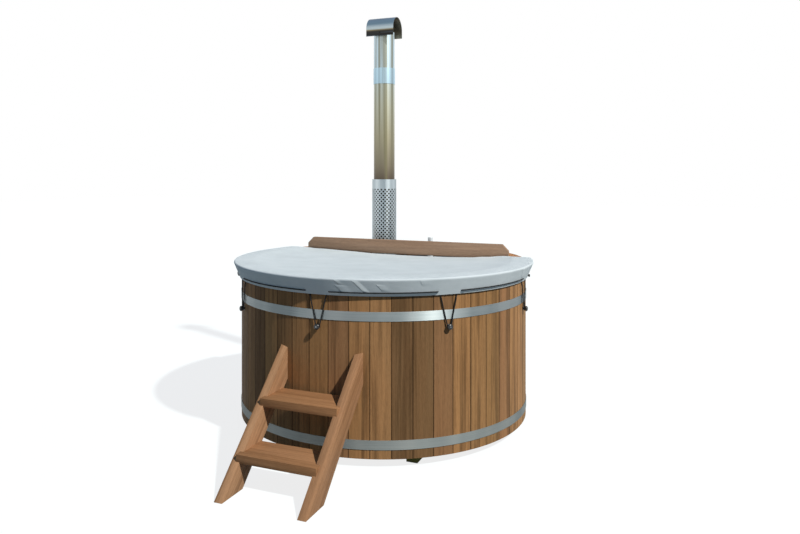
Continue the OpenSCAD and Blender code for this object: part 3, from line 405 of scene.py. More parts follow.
held = cover.vertex_groups.new(name="held")
for index, share in enumerate(grips):
    if share:
        held.add([index], share, "REPLACE")
pick(cover)
cloth = cover.modifiers.new("hang", "CLOTH")
fabric = cloth.settings
fabric.quality = 6
fabric.mass = 0.35
fabric.tension_stiffness = 80
fabric.compression_stiffness = 40
fabric.shear_stiffness = 20
fabric.bending_stiffness = 4
fabric.effector_weights.gravity = WEIGHT_SHARE
fabric.vertex_group_mass = "held"
cloth.point_cache.frame_start = 1
cloth.point_cache.frame_end = SETTLE_FRAMES
for frame_number in range(1, SETTLE_FRAMES + 1):
    bpy.context.scene.frame_set(frame_number)
bpy.ops.object.modifier_apply(modifier=cloth.name)
hung = np.array([v.co for v in cover.data.vertices])
moved = hung - sewn
far = np.linalg.norm(moved, axis=1, keepdims=True)
hung = sewn + moved * np.minimum(1, SETTLE_CAP / np.maximum(far, 1e-9))
cover.data.vertices.foreach_set("co", hung.astype(np.float32).ravel())
cover.data.update()
bpy.context.scene.frame_set(1)
print("cover: moved up to", round(1000 * float(far.max()), 1), "mm before the cap, on average",
      round(1000 * float(far.mean()), 1), "mm")

# %% [markdown]
# The fabric gets its thickness last: 8 mm where the quilt lies, and about 3 mm in the skirt. It could be
# modelled as two skins, but one skin that is thickened afterwards keeps both faces parallel. A group of
# points says where the quilt lies, and the rest gets a share of its thickness.

# %% Cover: thickness
QUILT = 0.008
QUILT_DEPTH = 0.06
QUILT_R = 0.955
SKIRT_SHARE = 0.36

quilt = cover.vertex_groups.new(name="quilt")
for vert in cover.data.vertices:
    reach = math.hypot(vert.co.x, vert.co.y)
    share = 1.0 if vert.co.z > COVER_TOP - QUILT_DEPTH and reach < QUILT_R else 0.0
    quilt.add([vert.index], share, "REPLACE")
pick(cover)
smooth = cover.modifiers.new("smooth", "SUBSURF")
smooth.levels = smooth.render_levels = 1
bpy.ops.object.modifier_apply(modifier=smooth.name)
cloth_wall = cover.modifiers.new("thickness", "SOLIDIFY")
cloth_wall.thickness = QUILT
cloth_wall.offset = -1
cloth_wall.vertex_group = "quilt"
cloth_wall.thickness_vertex_group = SKIRT_SHARE
bpy.ops.object.modifier_apply(modifier=cloth_wall.name)
bpy.ops.object.shade_smooth_by_angle(angle=math.radians(50))
cover.vertex_groups.clear()
print("cover:", len(cover.data.polygons), "faces")

# %% [markdown]
# Where the cord pulls the skirt in, the fabric lies in creases that run down from the edge. They are only
# a few millimetres high, so they are drawn as relief in the finish, which costs no faces. Each crease
# has a steep side and a flat side, as a fold that has been pressed over.

# %% Cover: creases
# Azimuth in degrees, lean, width, first and last distance under the top, share of the full height.
TUCKS = [(5.9, 0.9, 0.004, 0.006, 0.042, 0.7), (4.4, 0.85, 0.010, 0.038, 0.098, 0.7),
         (11.6, 0.95, 0.005, 0.010, 0.090, 0.9), (18.2, 0.9, 0.007, 0.030, 0.080, 0.35),
         (33.5, 0.5, 0.008, 0.008, 0.050, 0.2), (-38.0, 0.6, 0.008, 0.006, 0.080, 0.5),
         (-55.0, 0.8, 0.006, 0.004, 0.060, 0.4), (80.0, 0.5, 0.008, 0.006, 0.080, 0.4)]
TUCK_HEIGHT = 0.006
TUCK_START = 0.012  # over this length a crease rises to its full height
TUCK_END = 0.02  # and over this one it runs out
SKIRT_FROM_R, SKIRT_FULL_R = 0.93, 0.96


def tuck(tree, place, crease, height):
    """Adds one crease to a height. It starts at its azimuth, runs to the right by its lean as it comes
    down the skirt, is steep for its width and flat for eight times as much."""
    azimuth, lean, width, first, last, share = crease
    axes = add(tree, "SeparateXYZ", {"Vector": place})
    front = add(tree, "Math", {0: axes.outputs["Y"], 1: -1.0}, operation="MULTIPLY")
    around = add(tree, "Math", {0: axes.outputs["X"], 1: front.outputs[0]}, operation="ARCTAN2")
    down = add(tree, "Math", {0: COVER_TOP, 1: axes.outputs["Z"]}, operation="SUBTRACT").outputs[0]
    level = add(tree, "VectorMath", {0: place, 1: (1, 1, 0)}, operation="MULTIPLY").outputs[0]
    reach = add(tree, "VectorMath", {0: level}, operation="LENGTH").outputs["Value"]
    line = add(tree, "Math", {0: down, 1: lean / COVER_BULGE_R, 2: math.radians(azimuth)},
               operation="MULTIPLY_ADD")
    off = add(tree, "Math", {0: around.outputs[0], 1: line.outputs[0]}, operation="SUBTRACT").outputs[0]
    parts = [(off, 0.0, width, 0.0, 1.0), (off, width, 9 * width, 1.0, 0.0),
             (down, first, first + TUCK_START, 0.0, 1.0), (down, last - TUCK_END, last, 1.0, 0.0),
             (reach, SKIRT_FROM_R, SKIRT_FULL_R, 0.0, 1.0)]
    for value, start, end, low, high in parts:
        step = add(tree, "MapRange", {"Value": value, "From Min": start, "From Max": end, "To Min": low,
                                      "To Max": high}, interpolation_type="SMOOTHSTEP")
        share = add(tree, "Math", {0: step.outputs[0], 1: share}, operation="MULTIPLY").outputs[0]
    return add(tree, "Math", {0: share, 1: height}, operation="ADD").outputs[0]


print("cover:", len(TUCKS), "creases, up to", round(1000 * TUCK_HEIGHT), "mm high")

# %% [markdown]
# The cover's fabric is woven polyester with a soft plastic coating, the kind that truck sheets are made
# of. The coating makes it matt and light grey, fills the weave so that only a faint net of threads is
# left, and keeps a little dirt in cloudy patches. The threads are drawn 1.6 mm apart, about twice the
# real spacing, because the real one is too fine to show.

# %% Finish: coated polyester
WEAVE_SCALE = 196.0  # a wave repeats every 0.314 m over its scale, which gives the 1.6 mm


def coated_fabric():
    """Light grey coated polyester: fine weave, soft cloudy dirt and crumples, and the skirt's creases."""
    material, tree, shader, place = new_material("coated_polyester")
    weave = add(tree, "TexWave", {"Vector": place, "Scale": WEAVE_SCALE}, bands_direction="X")
    weft = add(tree, "TexWave", {"Vector": place, "Scale": WEAVE_SCALE}, bands_direction="Y")
    threads = add(tree, "Math", {0: weave.outputs["Fac"], 1: weft.outputs["Fac"]}, operation="ADD")
    stain = add(tree, "TexNoise", {"Vector": place, "Scale": 5.0, "Detail": 5.0, "Roughness": 0.6})
    colour = add(tree, "ValToRGB", {"Fac": stain.outputs["Fac"]},
                 stops=[(0.3, "#CFD9DD"), (0.5, "#D5DFE3"), (0.7, "#DBE4E8")])
    tree.links.new(colour.outputs[0], shader.inputs["Base Color"])
    rough = add(tree, "MapRange", {"Value": stain.outputs["Fac"], "To Min": 0.55, "To Max": 0.75})
    tree.links.new(rough.outputs[0], shader.inputs["Roughness"])
    crumple = add(tree, "TexNoise", {"Vector": place, "Scale": 18.0, "Detail": 4.0})
    relief = add(tree, "Math", {0: threads.outputs[0], 1: 0.05, 2: crumple.outputs["Fac"]},
                 operation="MULTIPLY_ADD")
    fine = add(tree, "Bump", {"Height": relief.outputs[0], "Strength": 0.5, "Distance": 0.003})
    folds = 0.0
    for crease in TUCKS:
        folds = tuck(tree, place, crease, folds)
    bump = add(tree, "Bump", {"Height": folds, "Strength": 1.0, "Distance": TUCK_HEIGHT,
                              "Normal": fine.outputs[0]})
    tree.links.new(bump.outputs[0], shader.inputs["Normal"])
    shader.inputs["Specular IOR Level"].default_value = 0.1
    return material


COVER_FABRIC = coated_fabric()
coat(COVER_FABRIC, cover)
print("cover finish:", COVER_FABRIC.name)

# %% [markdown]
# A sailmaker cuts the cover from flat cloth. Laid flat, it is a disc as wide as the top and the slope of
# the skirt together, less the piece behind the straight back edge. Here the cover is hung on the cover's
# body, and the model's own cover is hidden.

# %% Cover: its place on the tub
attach(cover, "cover")
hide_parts("cover")

# %% [markdown]
# ## The heat guard
# A perforated sheet is punched flat and then rolled into a tube round the hot pipe. It is made here the
# same way: one cell with its round hole, rows of cells with every second row shifted by half a cell, and
# then the flat sheet is rolled. Cutting hundreds of holes in a finished tube gives the same shape, but
# is slow and leaves ragged faces. The real holes are about 14 mm wide, in rows 14.8 mm apart, twenty to
# a row.

# %% Heat guard: one cell
GUARD_R = 0.092
GUARD_WALL = 0.002
HOLE_R = 0.0071
CELLS_ROUND = 20
CELL_ROWS = 34
CELL_W = 2 * math.pi * GUARD_R / CELLS_ROUND
CELL_H = 0.0148
HOLES_LOW_Z = 0.998
GUARD_LOW_Z = 0.981
GUARD_TOP_Z = 1.572
GUARD_WELD = 0.0002
RING_TOLERANCE = 0.0001


def edit_points(obj, wanted):
    """Opens a piece in edit mode with only those points selected whose place passes the test."""
    bpy.ops.object.mode_set(mode="EDIT")
    bpy.ops.mesh.select_mode(type="VERT")
    bpy.ops.mesh.select_all(action="DESELECT")
    bpy.ops.object.mode_set(mode="OBJECT")
    for vert in obj.data.vertices:
        vert.select = wanted(vert.co)
    bpy.ops.object.mode_set(mode="EDIT")


deselect()
bpy.ops.mesh.primitive_grid_add(x_subdivisions=4, y_subdivisions=4, size=1, location=(0, 0, 0))
guard = bpy.context.object
guard.name = "perforated_heat_guard"
edit_points(guard, lambda place: max(abs(place.x), abs(place.y)) < 0.4)  # all but the border
bpy.ops.mesh.delete(type="VERT")
bpy.ops.mesh.select_all(action="SELECT")
bpy.ops.transform.resize(value=(CELL_W, CELL_H, 1))
bpy.ops.mesh.primitive_circle_add(vertices=16, radius=HOLE_R, location=(0, 0, 0))
bpy.ops.mesh.select_all(action="SELECT")
bpy.ops.mesh.bridge_edge_loops()
bpy.ops.object.mode_set(mode="OBJECT")
print("one cell has", len(guard.data.polygons), "faces")

# %% [markdown]
# The cell is repeated along a row, the row is doubled with its shift, and the pair of rows is repeated up
# the sheet. Each time the copies are welded where they meet, so the sheet stays one piece.

# %% Heat guard: punched sheet
def repeat(obj, count, step):
    """Copies a piece in a row and welds the copies where they meet."""
    row = obj.modifiers.new("row", "ARRAY")
    row.use_relative_offset = False
    row.use_constant_offset = True
    row.constant_offset_displace = step
    row.count = count
    row.use_merge_vertices = True
    row.merge_threshold = GUARD_WELD
    bpy.ops.object.modifier_apply(modifier=row.name)


repeat(guard, CELLS_ROUND, (CELL_W, 0, 0))
repeat(guard, 2, (CELL_W / 2, CELL_H, 0))
repeat(guard, CELL_ROWS // 2, (0, 2 * CELL_H, 0))
print("the flat sheet has", len(guard.data.polygons), "faces")

# %% [markdown]
# Rolling turns the distance along the sheet into an angle round the pipe. The plain bands at both ends
# are drawn out afterwards, and the sheet gets its thickness last.

# %% Heat guard: rolled
def stretch_ends(from_z, to_z):
    """Draws the plain band out of the ring of edges at one end of the tube."""
    edit_points(guard, lambda place: abs(place.z - from_z) < RING_TOLERANCE)
    bpy.ops.mesh.extrude_region_move(TRANSFORM_OT_translate={"value": (0, 0, to_z - from_z)})


for vert in guard.data.vertices:
    around = vert.co.x / GUARD_R
    vert.co = (FLUE_X + GUARD_R * math.sin(around), FLUE_Y - GUARD_R * math.cos(around),
               HOLES_LOW_Z + CELL_H / 2 + vert.co.y)
edit_points(guard, lambda place: True)
bpy.ops.mesh.remove_doubles(threshold=GUARD_WELD)
stretch_ends(HOLES_LOW_Z, GUARD_LOW_Z)
stretch_ends(HOLES_LOW_Z + CELL_ROWS * CELL_H, GUARD_TOP_Z)
bpy.ops.mesh.select_all(action="SELECT")
bpy.ops.mesh.normals_make_consistent(inside=False)
bpy.ops.object.mode_set(mode="OBJECT")
sheet_wall = guard.modifiers.new("thickness", "SOLIDIFY")
sheet_wall.thickness = GUARD_WALL
sheet_wall.offset = 0
bpy.ops.object.modifier_apply(modifier=sheet_wall.name)
bpy.ops.object.shade_smooth_by_angle(angle=math.radians(35))
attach(guard, "tub")
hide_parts("heat_guard")
print("heat guard:", CELLS_ROUND * CELL_ROWS, "holes,", len(guard.data.polygons), "faces")

# %% [markdown]
# ## Planed wood
# Every board is a piece of its own tree, so each one has its own tone and its own grain along its
# length. A picture of wood laid over all of them would show the same figure on each. The wood pieces
# made below carry three attributes instead, and the finish reads them: `grain` says where a point lies in
# its board, `tone` is a number that is the same all over one board, and `inset` says how near a point is
# to the joint with the next board. Thermally treated softwood is brown right through, its late wood
# shows as darker streaks, and its oiled face is satin and not glossy. Its figure is drawn at three
# widths: heartwood in bands of about 60 mm, growth rings about 14 mm apart, and fibre as flecks 3 mm
# wide and 30 mm long. The rings and the fibre are coarser than real ones, which wouldn't show.

# %% Finish: planed wood
def planed_wood(name, tones, streak, depth, roughness=0.6, bloom=None, joint=1.0):
    """Planed wood whose boards lie between the given tones, with streaks along the grain. It may have a
    weathered bloom, given as a colour and a share, and darker joints with its neighbours."""
    material, tree, shader, _ = new_material(name)
    grain = add(tree, "Attribute", attribute_name="grain").outputs["Vector"]
    inset = add(tree, "Attribute", attribute_name="inset").outputs["Fac"]
    tone = add(tree, "Attribute", attribute_name="tone").outputs["Fac"]
    places = [i / max(1, len(tones) - 1) for i in range(len(tones))]
    board = add(tree, "ValToRGB", {"Fac": tone}, stops=list(zip(places, tones)))

    def streaks(along, across, detail, roughness):
        stretched = add(tree, "Mapping", {"Vector": grain, "Scale": (along, across, across)})
        return add(tree, "TexNoise", {"Vector": stretched.outputs[0], "Scale": 1.0, "Detail": detail,
                                      "Roughness": roughness}).outputs["Fac"]

    heart = streaks(0.8, 17, 1.5, 0.5)  # about 60 mm wide and longer than a metre
    rings = streaks(2.2, 70, 3.0, 0.55)  # 14 mm wide and half a metre long
    fibre = streaks(34.0, 300, 2.0, 0.6)  # 3 mm wide and 30 mm long
    figure = add(tree, "Math", {0: heart, 1: 2.0, 2: rings}, operation="MULTIPLY_ADD")
    late = add(tree, "MapRange", {"Value": figure.outputs[0], "From Min": 1.38, "From Max": 1.92,
                                  "To Max": depth}, interpolation_type="SMOOTHSTEP")
    ringed = add(tree, "Mix", {0: late.outputs[0], 6: board.outputs[0], 7: linear(streak)},
                 data_type="RGBA")
    colour = ringed.outputs[2]
    if bloom:
        cloud = streaks(1.3, 11, 4.0, 0.6)  # patches 90 mm wide
        share = add(tree, "MapRange", {"Value": cloud, "From Min": 0.42, "From Max": 0.62,
                                       "To Max": bloom[1]})
        colour = add(tree, "Mix", {0: share.outputs[0], 6: colour, 7: linear(bloom[0])},
                     data_type="RGBA").outputs[2]
    early = add(tree, "Math", {0: rings, 1: fibre}, operation="ADD")
    light = add(tree, "MapRange", {"Value": early.outputs[0], "From Min": 0.75, "From Max": 1.25,
                                   "To Min": 1.15, "To Max": 0.85})
    dirt = add(tree, "MapRange", {"Value": inset, "From Min": 0.93, "From Max": 0.99, "To Min": 1.0,
                                  "To Max": joint})
    shade = add(tree, "Math", {0: light.outputs[0], 1: dirt.outputs[0]}, operation="MULTIPLY")
    brushed = add(tree, "VectorMath", {0: colour, 3: shade.outputs[0]}, operation="SCALE")
    tree.links.new(brushed.outputs[0], shader.inputs["Base Color"])
    satin = add(tree, "MapRange", {"Value": fibre, "To Min": roughness - 0.12,
                                   "To Max": roughness + 0.12})
    tree.links.new(satin.outputs[0], shader.inputs["Roughness"])
    bump = add(tree, "Bump", {"Height": early.outputs[0], "Strength": 0.3, "Distance": 0.0006})
    tree.links.new(bump.outputs[0], shader.inputs["Normal"])
    shader.inputs["Specular IOR Level"].default_value = 0.08
    return material


print("finishes so far:", len(bpy.data.materials))

# %% [markdown]
# The same softwood looks different by its place on the tub. The staves come from many trees, so their
# tones are mixed, dark beside light, and dirt has gathered in their joints. The ladder is even and warm,
# the rim is the reddest, and the fence's top plank has greyed in the weather. The bench and the floor
# have stayed pale inside, and the beams are pressure-treated, which leaves a green cast.

# %% Finish: the woods of the tub
STAVE_WOOD = planed_wood("heat_treated_staves",
                         ["#6E5238", "#96724A", "#A97D52", "#7A5B3E", "#B08458", "#8A6745", "#9E7450",
                          "#74573A"], "#4E3822", 0.56, bloom=("#7C6446", 0.25), joint=0.28)
LADDER_WOOD = planed_wood("heat_treated_ladder", ["#9E7450", "#A67C5A", "#AE8664"], "#7A5636", 0.45)
RIM_WOOD = planed_wood("heat_treated_rim", ["#A06C40", "#B07A4A", "#A87347"], "#6E4422", 0.5)
PLANK_WOOD = planed_wood("weathered_plank", ["#A4866E", "#AA8C76"], "#80634C", 0.2, 0.65,
                         ("#A48E7C", 0.3))
FENCE_WOOD = planed_wood("heat_treated_fence", ["#7E5E40", "#93704C", "#88664A"], "#4E3620", 0.6)
BENCH_WOOD = planed_wood("planed_bench", ["#A67E55", "#B58C60", "#9C754E"], "#74512F", 0.45)
FLOOR_WOOD = planed_wood("planed_floor", ["#93704A", "#A27C54", "#86653F"], "#5E4326", 0.5)
BEAM_WOOD = planed_wood("pressure_treated_beams", ["#8C8A4A", "#9A9860"], "#5E5C32", 0.5, 0.75)
print("finishes so far:", len(bpy.data.materials))

# %% [markdown]
# ## Boards with eased edges
# A planed board has its sharp edges taken off, and that thin rounded edge is what catches the light. The
# model's boards have sharp edges, so each is copied here, its loose triangles are merged, its flat faces
# joined, and its edges bevelled by a few millimetres. Then the boards of one node are parted, so that
# each gets its own grain and tone, and joined again.
#
# The grain follows the longest direction of a board, which is found from its points. Where it is known
# beforehand, as in the upright staves, it is given instead.

# %% Boards: grain and tone
FACE_DEPTH = 0.004  # points of a stave this near to its outermost one lie on its outer face
dice = np.random.default_rng(7)


def grain_frame(obj, along):
    """The three directions of a board: along its grain, across its width and through its thickness."""
    points = np.array([v.co for v in obj.data.vertices])
    centre = (points.max(axis=0) + points.min(axis=0)) / 2
    if along is None:
        along = np.linalg.svd(points - points.mean(axis=0), full_matrices=False)[2][0]
    along = np.array(along) / np.linalg.norm(along)
    along = along * np.sign(along[np.argmax(np.abs(along))])
    rest = (points - centre) - np.outer((points - centre) @ along, along)
    across = np.linalg.svd(rest, full_matrices=False)[2][0]
    across = across * np.sign(across[np.argmax(np.abs(across))])
    return points - centre, np.stack([along, across, np.cross(along, across)])


def side_share(obj, across):
    """How near each point is to the sides of the board's outer face, 1 at the sides. The face is
    measured where the board is widest away from the tub, because a stave's bead stands out behind it."""
    far = np.array([math.hypot(v.co.x, v.co.y) for v in obj.data.vertices])
    face = across[far > far.max() - FACE_DEPTH]
    middle, half = (face.max() + face.min()) / 2, (face.max() - face.min()) / 2
    return np.clip(np.abs(across - middle) / half, 0, 1).astype(np.float32)


def mark_board(obj, along):
    """Writes a board's grain, its nearness to a side and its tone onto its points."""
    points, axes = grain_frame(obj, along)
    shift = np.array([dice.uniform(0, 9), dice.uniform(0, 3), dice.uniform(0, 3)])
    grain = obj.data.attributes.new("grain", "FLOAT_VECTOR", "POINT")
    grain.data.foreach_set("vector", (points @ axes.T + shift).astype(np.float32).ravel())
    inset = obj.data.attributes.new("inset", "FLOAT", "POINT")
    inset.data.foreach_set("value", side_share(obj, points @ axes[1]))
    tone = obj.data.attributes.new("tone", "FLOAT", "POINT")
    tone.data.foreach_set("value", np.full(len(points), dice.uniform(0, 1), np.float32))


print("board attributes: grain, inset, tone")

# %% [markdown]
# The model's meshes are loose triangles. A bevel on those would round every triangle's side, so a node is
# copied first, its points are merged and its flat faces made whole. The node itself stays as it is and
# is only hidden, because the copy replaces it.

# %% Boards: copied, eased and marked
WELD = 1e-5
FLAT_ANGLE = math.radians(0.3)
EASED_ANGLE = math.radians(35)


def copy_of_node(node, name):
    """A free copy of a node's mesh, merged, with its flat faces made whole."""
    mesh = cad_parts[node].data.copy()
    obj = bpy.data.objects.new(name, mesh)
    bpy.context.scene.collection.objects.link(obj)
    pick(obj)
    bpy.ops.object.mode_set(mode="EDIT")
    bpy.ops.mesh.select_all(action="SELECT")
    bpy.ops.mesh.remove_doubles(threshold=WELD)
    bpy.ops.mesh.dissolve_limited(angle_limit=FLAT_ANGLE)
    bpy.ops.mesh.customdata_custom_splitnormals_clear()
    bpy.ops.object.mode_set(mode="OBJECT")
    return obj


def boards(node, material, ease, along=None):
    """The boards of one node as a piece of its own, with eased edges, grain and tone."""
    obj = copy_of_node(node, "planed_" + node)
    if ease:
        edge = obj.modifiers.new("eased_edges", "BEVEL")
        edge.width = ease
        edge.segments = 2
        edge.limit_method = "ANGLE"
        edge.angle_limit = EASED_ANGLE
        bpy.ops.object.modifier_apply(modifier=edge.name)
    bpy.ops.object.mode_set(mode="EDIT")
    bpy.ops.mesh.select_all(action="SELECT")
    bpy.ops.mesh.separate(type="LOOSE")
    bpy.ops.object.mode_set(mode="OBJECT")
    parts = sorted(bpy.context.selected_objects, key=lambda o: o.name)
    for part in parts:
        mark_board(part, along)
    pick(obj)
    for part in parts:
        part.select_set(True)
    if len(parts) > 1:
        bpy.ops.object.join()
    bpy.ops.object.shade_smooth_by_angle(angle=math.radians(30))
    coat(material, obj)
    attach(obj, "tub")
    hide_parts(node)
    print(obj.name, len(parts), "boards,", len(obj.data.polygons), "faces")


# %% [markdown]
# Staves, rim boards and floor boards lie edge to edge or already have their bevels in the model, so they
# aren't eased again. The others are eased by 2 to 4 mm, as much as the photograph shows. The grain of
# the ladder's stringers runs along their slope.

# %% Boards: all of them
ladder_low, ladder_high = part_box("left_stringer")
ladder_slope = (0, ladder_high.y - ladder_low.y, ladder_high.z - ladder_low.z)
boards("staves", STAVE_WOOD, ease=0, along=(0, 0, 1))
boards("rim_boards", RIM_WOOD, ease=0)
boards("fence_plank", PLANK_WOOD, ease=0.004)
boards("fence_boards", FENCE_WOOD, ease=0.003, along=(1, 0, 0))
boards("fence_posts", FENCE_WOOD, ease=0.003, along=(0, 0, 1))
boards("bench_slats", BENCH_WOOD, ease=0.003)
boards("bench_bearers", BENCH_WOOD, ease=0.002)
boards("bench_legs", BENCH_WOOD, ease=0.002, along=(0, 0, 1))
boards("floor_boards", FLOOR_WOOD, ease=0, along=(1, 0, 0))
boards("base_beams", BEAM_WOOD, ease=0.003, along=(0, 1, 0))
boards("left_stringer", LADDER_WOOD, ease=0.002, along=ladder_slope)
boards("right_stringer", LADDER_WOOD, ease=0.002, along=ladder_slope)
boards("lower_tread", LADDER_WOOD, ease=0.002, along=(1, 0, 0))
boards("upper_tread", LADDER_WOOD, ease=0.002, along=(1, 0, 0))

# %% [markdown]
# ## Metals
# Sheet steel is rolled, and rolling leaves fine lines along the sheet. Real lines are far finer than a
# millimetre, so they are drawn 2 to 5 mm wide, as fine as the camera still shows. A metal has hardly a
# colour of its own and shows what it mirrors, so its roughness matters most: fresh plating mirrors the
# lamp as a small glint, weathered zinc spreads it over half a band. One function makes all of them,
# from three tones, a roughness, the fineness of the lines and the size of the soft clouds in them.

# %% Finish: brushed sheet
def brushed_metal(name, tones, roughness, lines, clouds, grooves=0.12, rolled=0.0):
    """Metal in three tones, dark to light, that change in soft clouds and in fine lines. Lines that are
    rolled round an upright piece draw the lamp's glint out into an upright streak."""
    material, tree, shader, place = new_material(name)
    stretched = add(tree, "Mapping", {"Vector": place, "Scale": lines})
    line = add(tree, "TexNoise", {"Vector": stretched.outputs[0], "Scale": 1.0, "Detail": 3.0})
    wide = add(tree, "Mapping", {"Vector": place, "Scale": clouds})
    patch = add(tree, "TexNoise", {"Vector": wide.outputs[0], "Scale": 1.0, "Detail": 3.0})
    mixed = add(tree, "Math", {0: line.outputs["Fac"], 1: 0.3, 2: patch.outputs["Fac"]},
                operation="MULTIPLY_ADD")
    tint = add(tree, "ValToRGB", {"Fac": mixed.outputs[0]}, stops=list(zip((0.52, 0.65, 0.80), tones)))
    tree.links.new(tint.outputs[0], shader.inputs["Base Color"])
    dull = add(tree, "MapRange", {"Value": patch.outputs["Fac"], "From Min": 0.3, "From Max": 0.7,
                                  "To Min": roughness - 0.07, "To Max": roughness + 0.1})
    tree.links.new(dull.outputs[0], shader.inputs["Roughness"])
    shader.inputs["Metallic"].default_value = 1.0
    shader.inputs["Anisotropic"].default_value = rolled
    shader.inputs["Anisotropic Rotation"].default_value = 0.25
    bump = add(tree, "Bump", {"Height": line.outputs["Fac"], "Strength": grooves, "Distance": 0.0006})
    tree.links.new(bump.outputs[0], shader.inputs["Normal"])
    return material


print("finishes so far:", len(bpy.data.materials))

# %% [markdown]
# The bands are galvanised strip with lines along them; the lower one is rougher, and its darker tones are
# painted shade. Small parts are plated, turned or cast and have no direction in their surface, so their
# lines are as short as they are wide.

# %% Finish: the metals of the tub
# Hot-dip galvanised strip: a dull blue-grey skin of zinc, and a wide soft glint.
GALVANISED = brushed_metal("galvanised_band", ["#828D91", "#9AA5A8", "#AFB7B9"], 0.66, (3, 3, 500),
                           (2.6, 2.6, 0.6), 0.15, 1.0)
# The same strip, rougher and with hardly a glint; its darker, greyer tones are painted shade.
DULL_SHADED_BAND = brushed_metal("weathered_band", ["#757D7E", "#878E8E", "#969B9A"], 0.82, (3, 3, 500),
                          (2.6, 2.6, 0.6), 0.15, 0.5)
# Zinc-plated bolts and spacers: bright and a little uneven.
ZINC = brushed_metal("zinc_plated", ["#8A8D8F", "#A2A5A6", "#B4B7B8"], 0.3, (60, 60, 60), (60, 60, 60))
# Mild steel sheet: nearly black, matt, lines along the sheet. The near black is painted shade, for the
# dark gap behind the plank through which the stove is seen.
STOVE_SHEET = brushed_metal("fire_darkened_sheet", ["#26282A", "#343739", "#46494C"], 0.55,
                            (5, 240, 240), (7, 7, 7))
# Cast iron: black, matt and grainy, as sand leaves it.
GRATE_IRON = brushed_metal("cast_iron", ["#232221", "#2E2D2C", "#3A3938"], 0.72, (50, 50, 50),
                           (30, 30, 30))
# Stainless tube, ground along its length: pale and satin.
SATIN_STEEL = brushed_metal("satin_stainless", ["#C8D0D4", "#DDE4E8", "#EEF3F5"], 0.6, (200, 200, 4),
                            (40, 40, 2))
# Perforated stainless sheet, rolled upright: a clear upright glint.
GUARD_STEEL = brushed_metal("perforated_stainless", ["#9AA6AC", "#B3BEC3", "#CDD6DA"], 0.38,
                            (260, 260, 3), (16, 16, 0.5), 0.12, 0.5)
# Hardened screws, scuffed by the driver: dark with bright scars.
SCREW_STEEL = brushed_metal("driven_screws", ["#4C4F51", "#6A6E70", "#8A8E90"], 0.35, (90, 90, 90),
                            (60, 60, 60))
# Screws on the hood: black and matt, a painted reflection that matches the hood's painted dark lower
# part.
HOOD_SCREW_STEEL = brushed_metal("sooty_steel", ["#222120", "#302F2E", "#403E3C"], 0.6, (60, 60, 60),
                            (40, 40, 40))
# Turned brass: yellow and smooth.
BRASS = brushed_metal("machined_brass", ["#A08040", "#BE9C58", "#CFAE6A"], 0.3, (50, 50, 50),
                      (40, 40, 40))
# Nickel plate: a warm silver, the smoothest of all.
NICKEL = brushed_metal("nickel_plate", ["#A8A49A", "#C0BCB2", "#CFCBC2"], 0.18, (40, 40, 40),
                       (30, 30, 30))

coat(GALVANISED, "upper_hoop")
coat(DULL_SHADED_BAND, "lower_hoop")
coat(ZINC, "hoop_bolts", "lid_bolts", "hood_spacers", "lever_nut")
coat(SCREW_STEEL, "fence_screws", "knob_screws", "ladder_screws", "stove_bolts")
coat(HOOD_SCREW_STEEL, "hood_screws")
coat(STOVE_SHEET, "stove_feet", "stove_body", "stove_top", "lid_rails", "lid_stop", "fuel_lid")
coat(GRATE_IRON, "fire_grate")
coat(SATIN_STEEL, "lid_handle", "handle_cap")
coat(GUARD_STEEL, "flue_collar", "guard_ring", guard)
coat(BRASS, "drain_tube", "drain_nut", "valve_stem")
coat(NICKEL, "valve_body")
print("finishes so far:", len(bpy.data.materials))
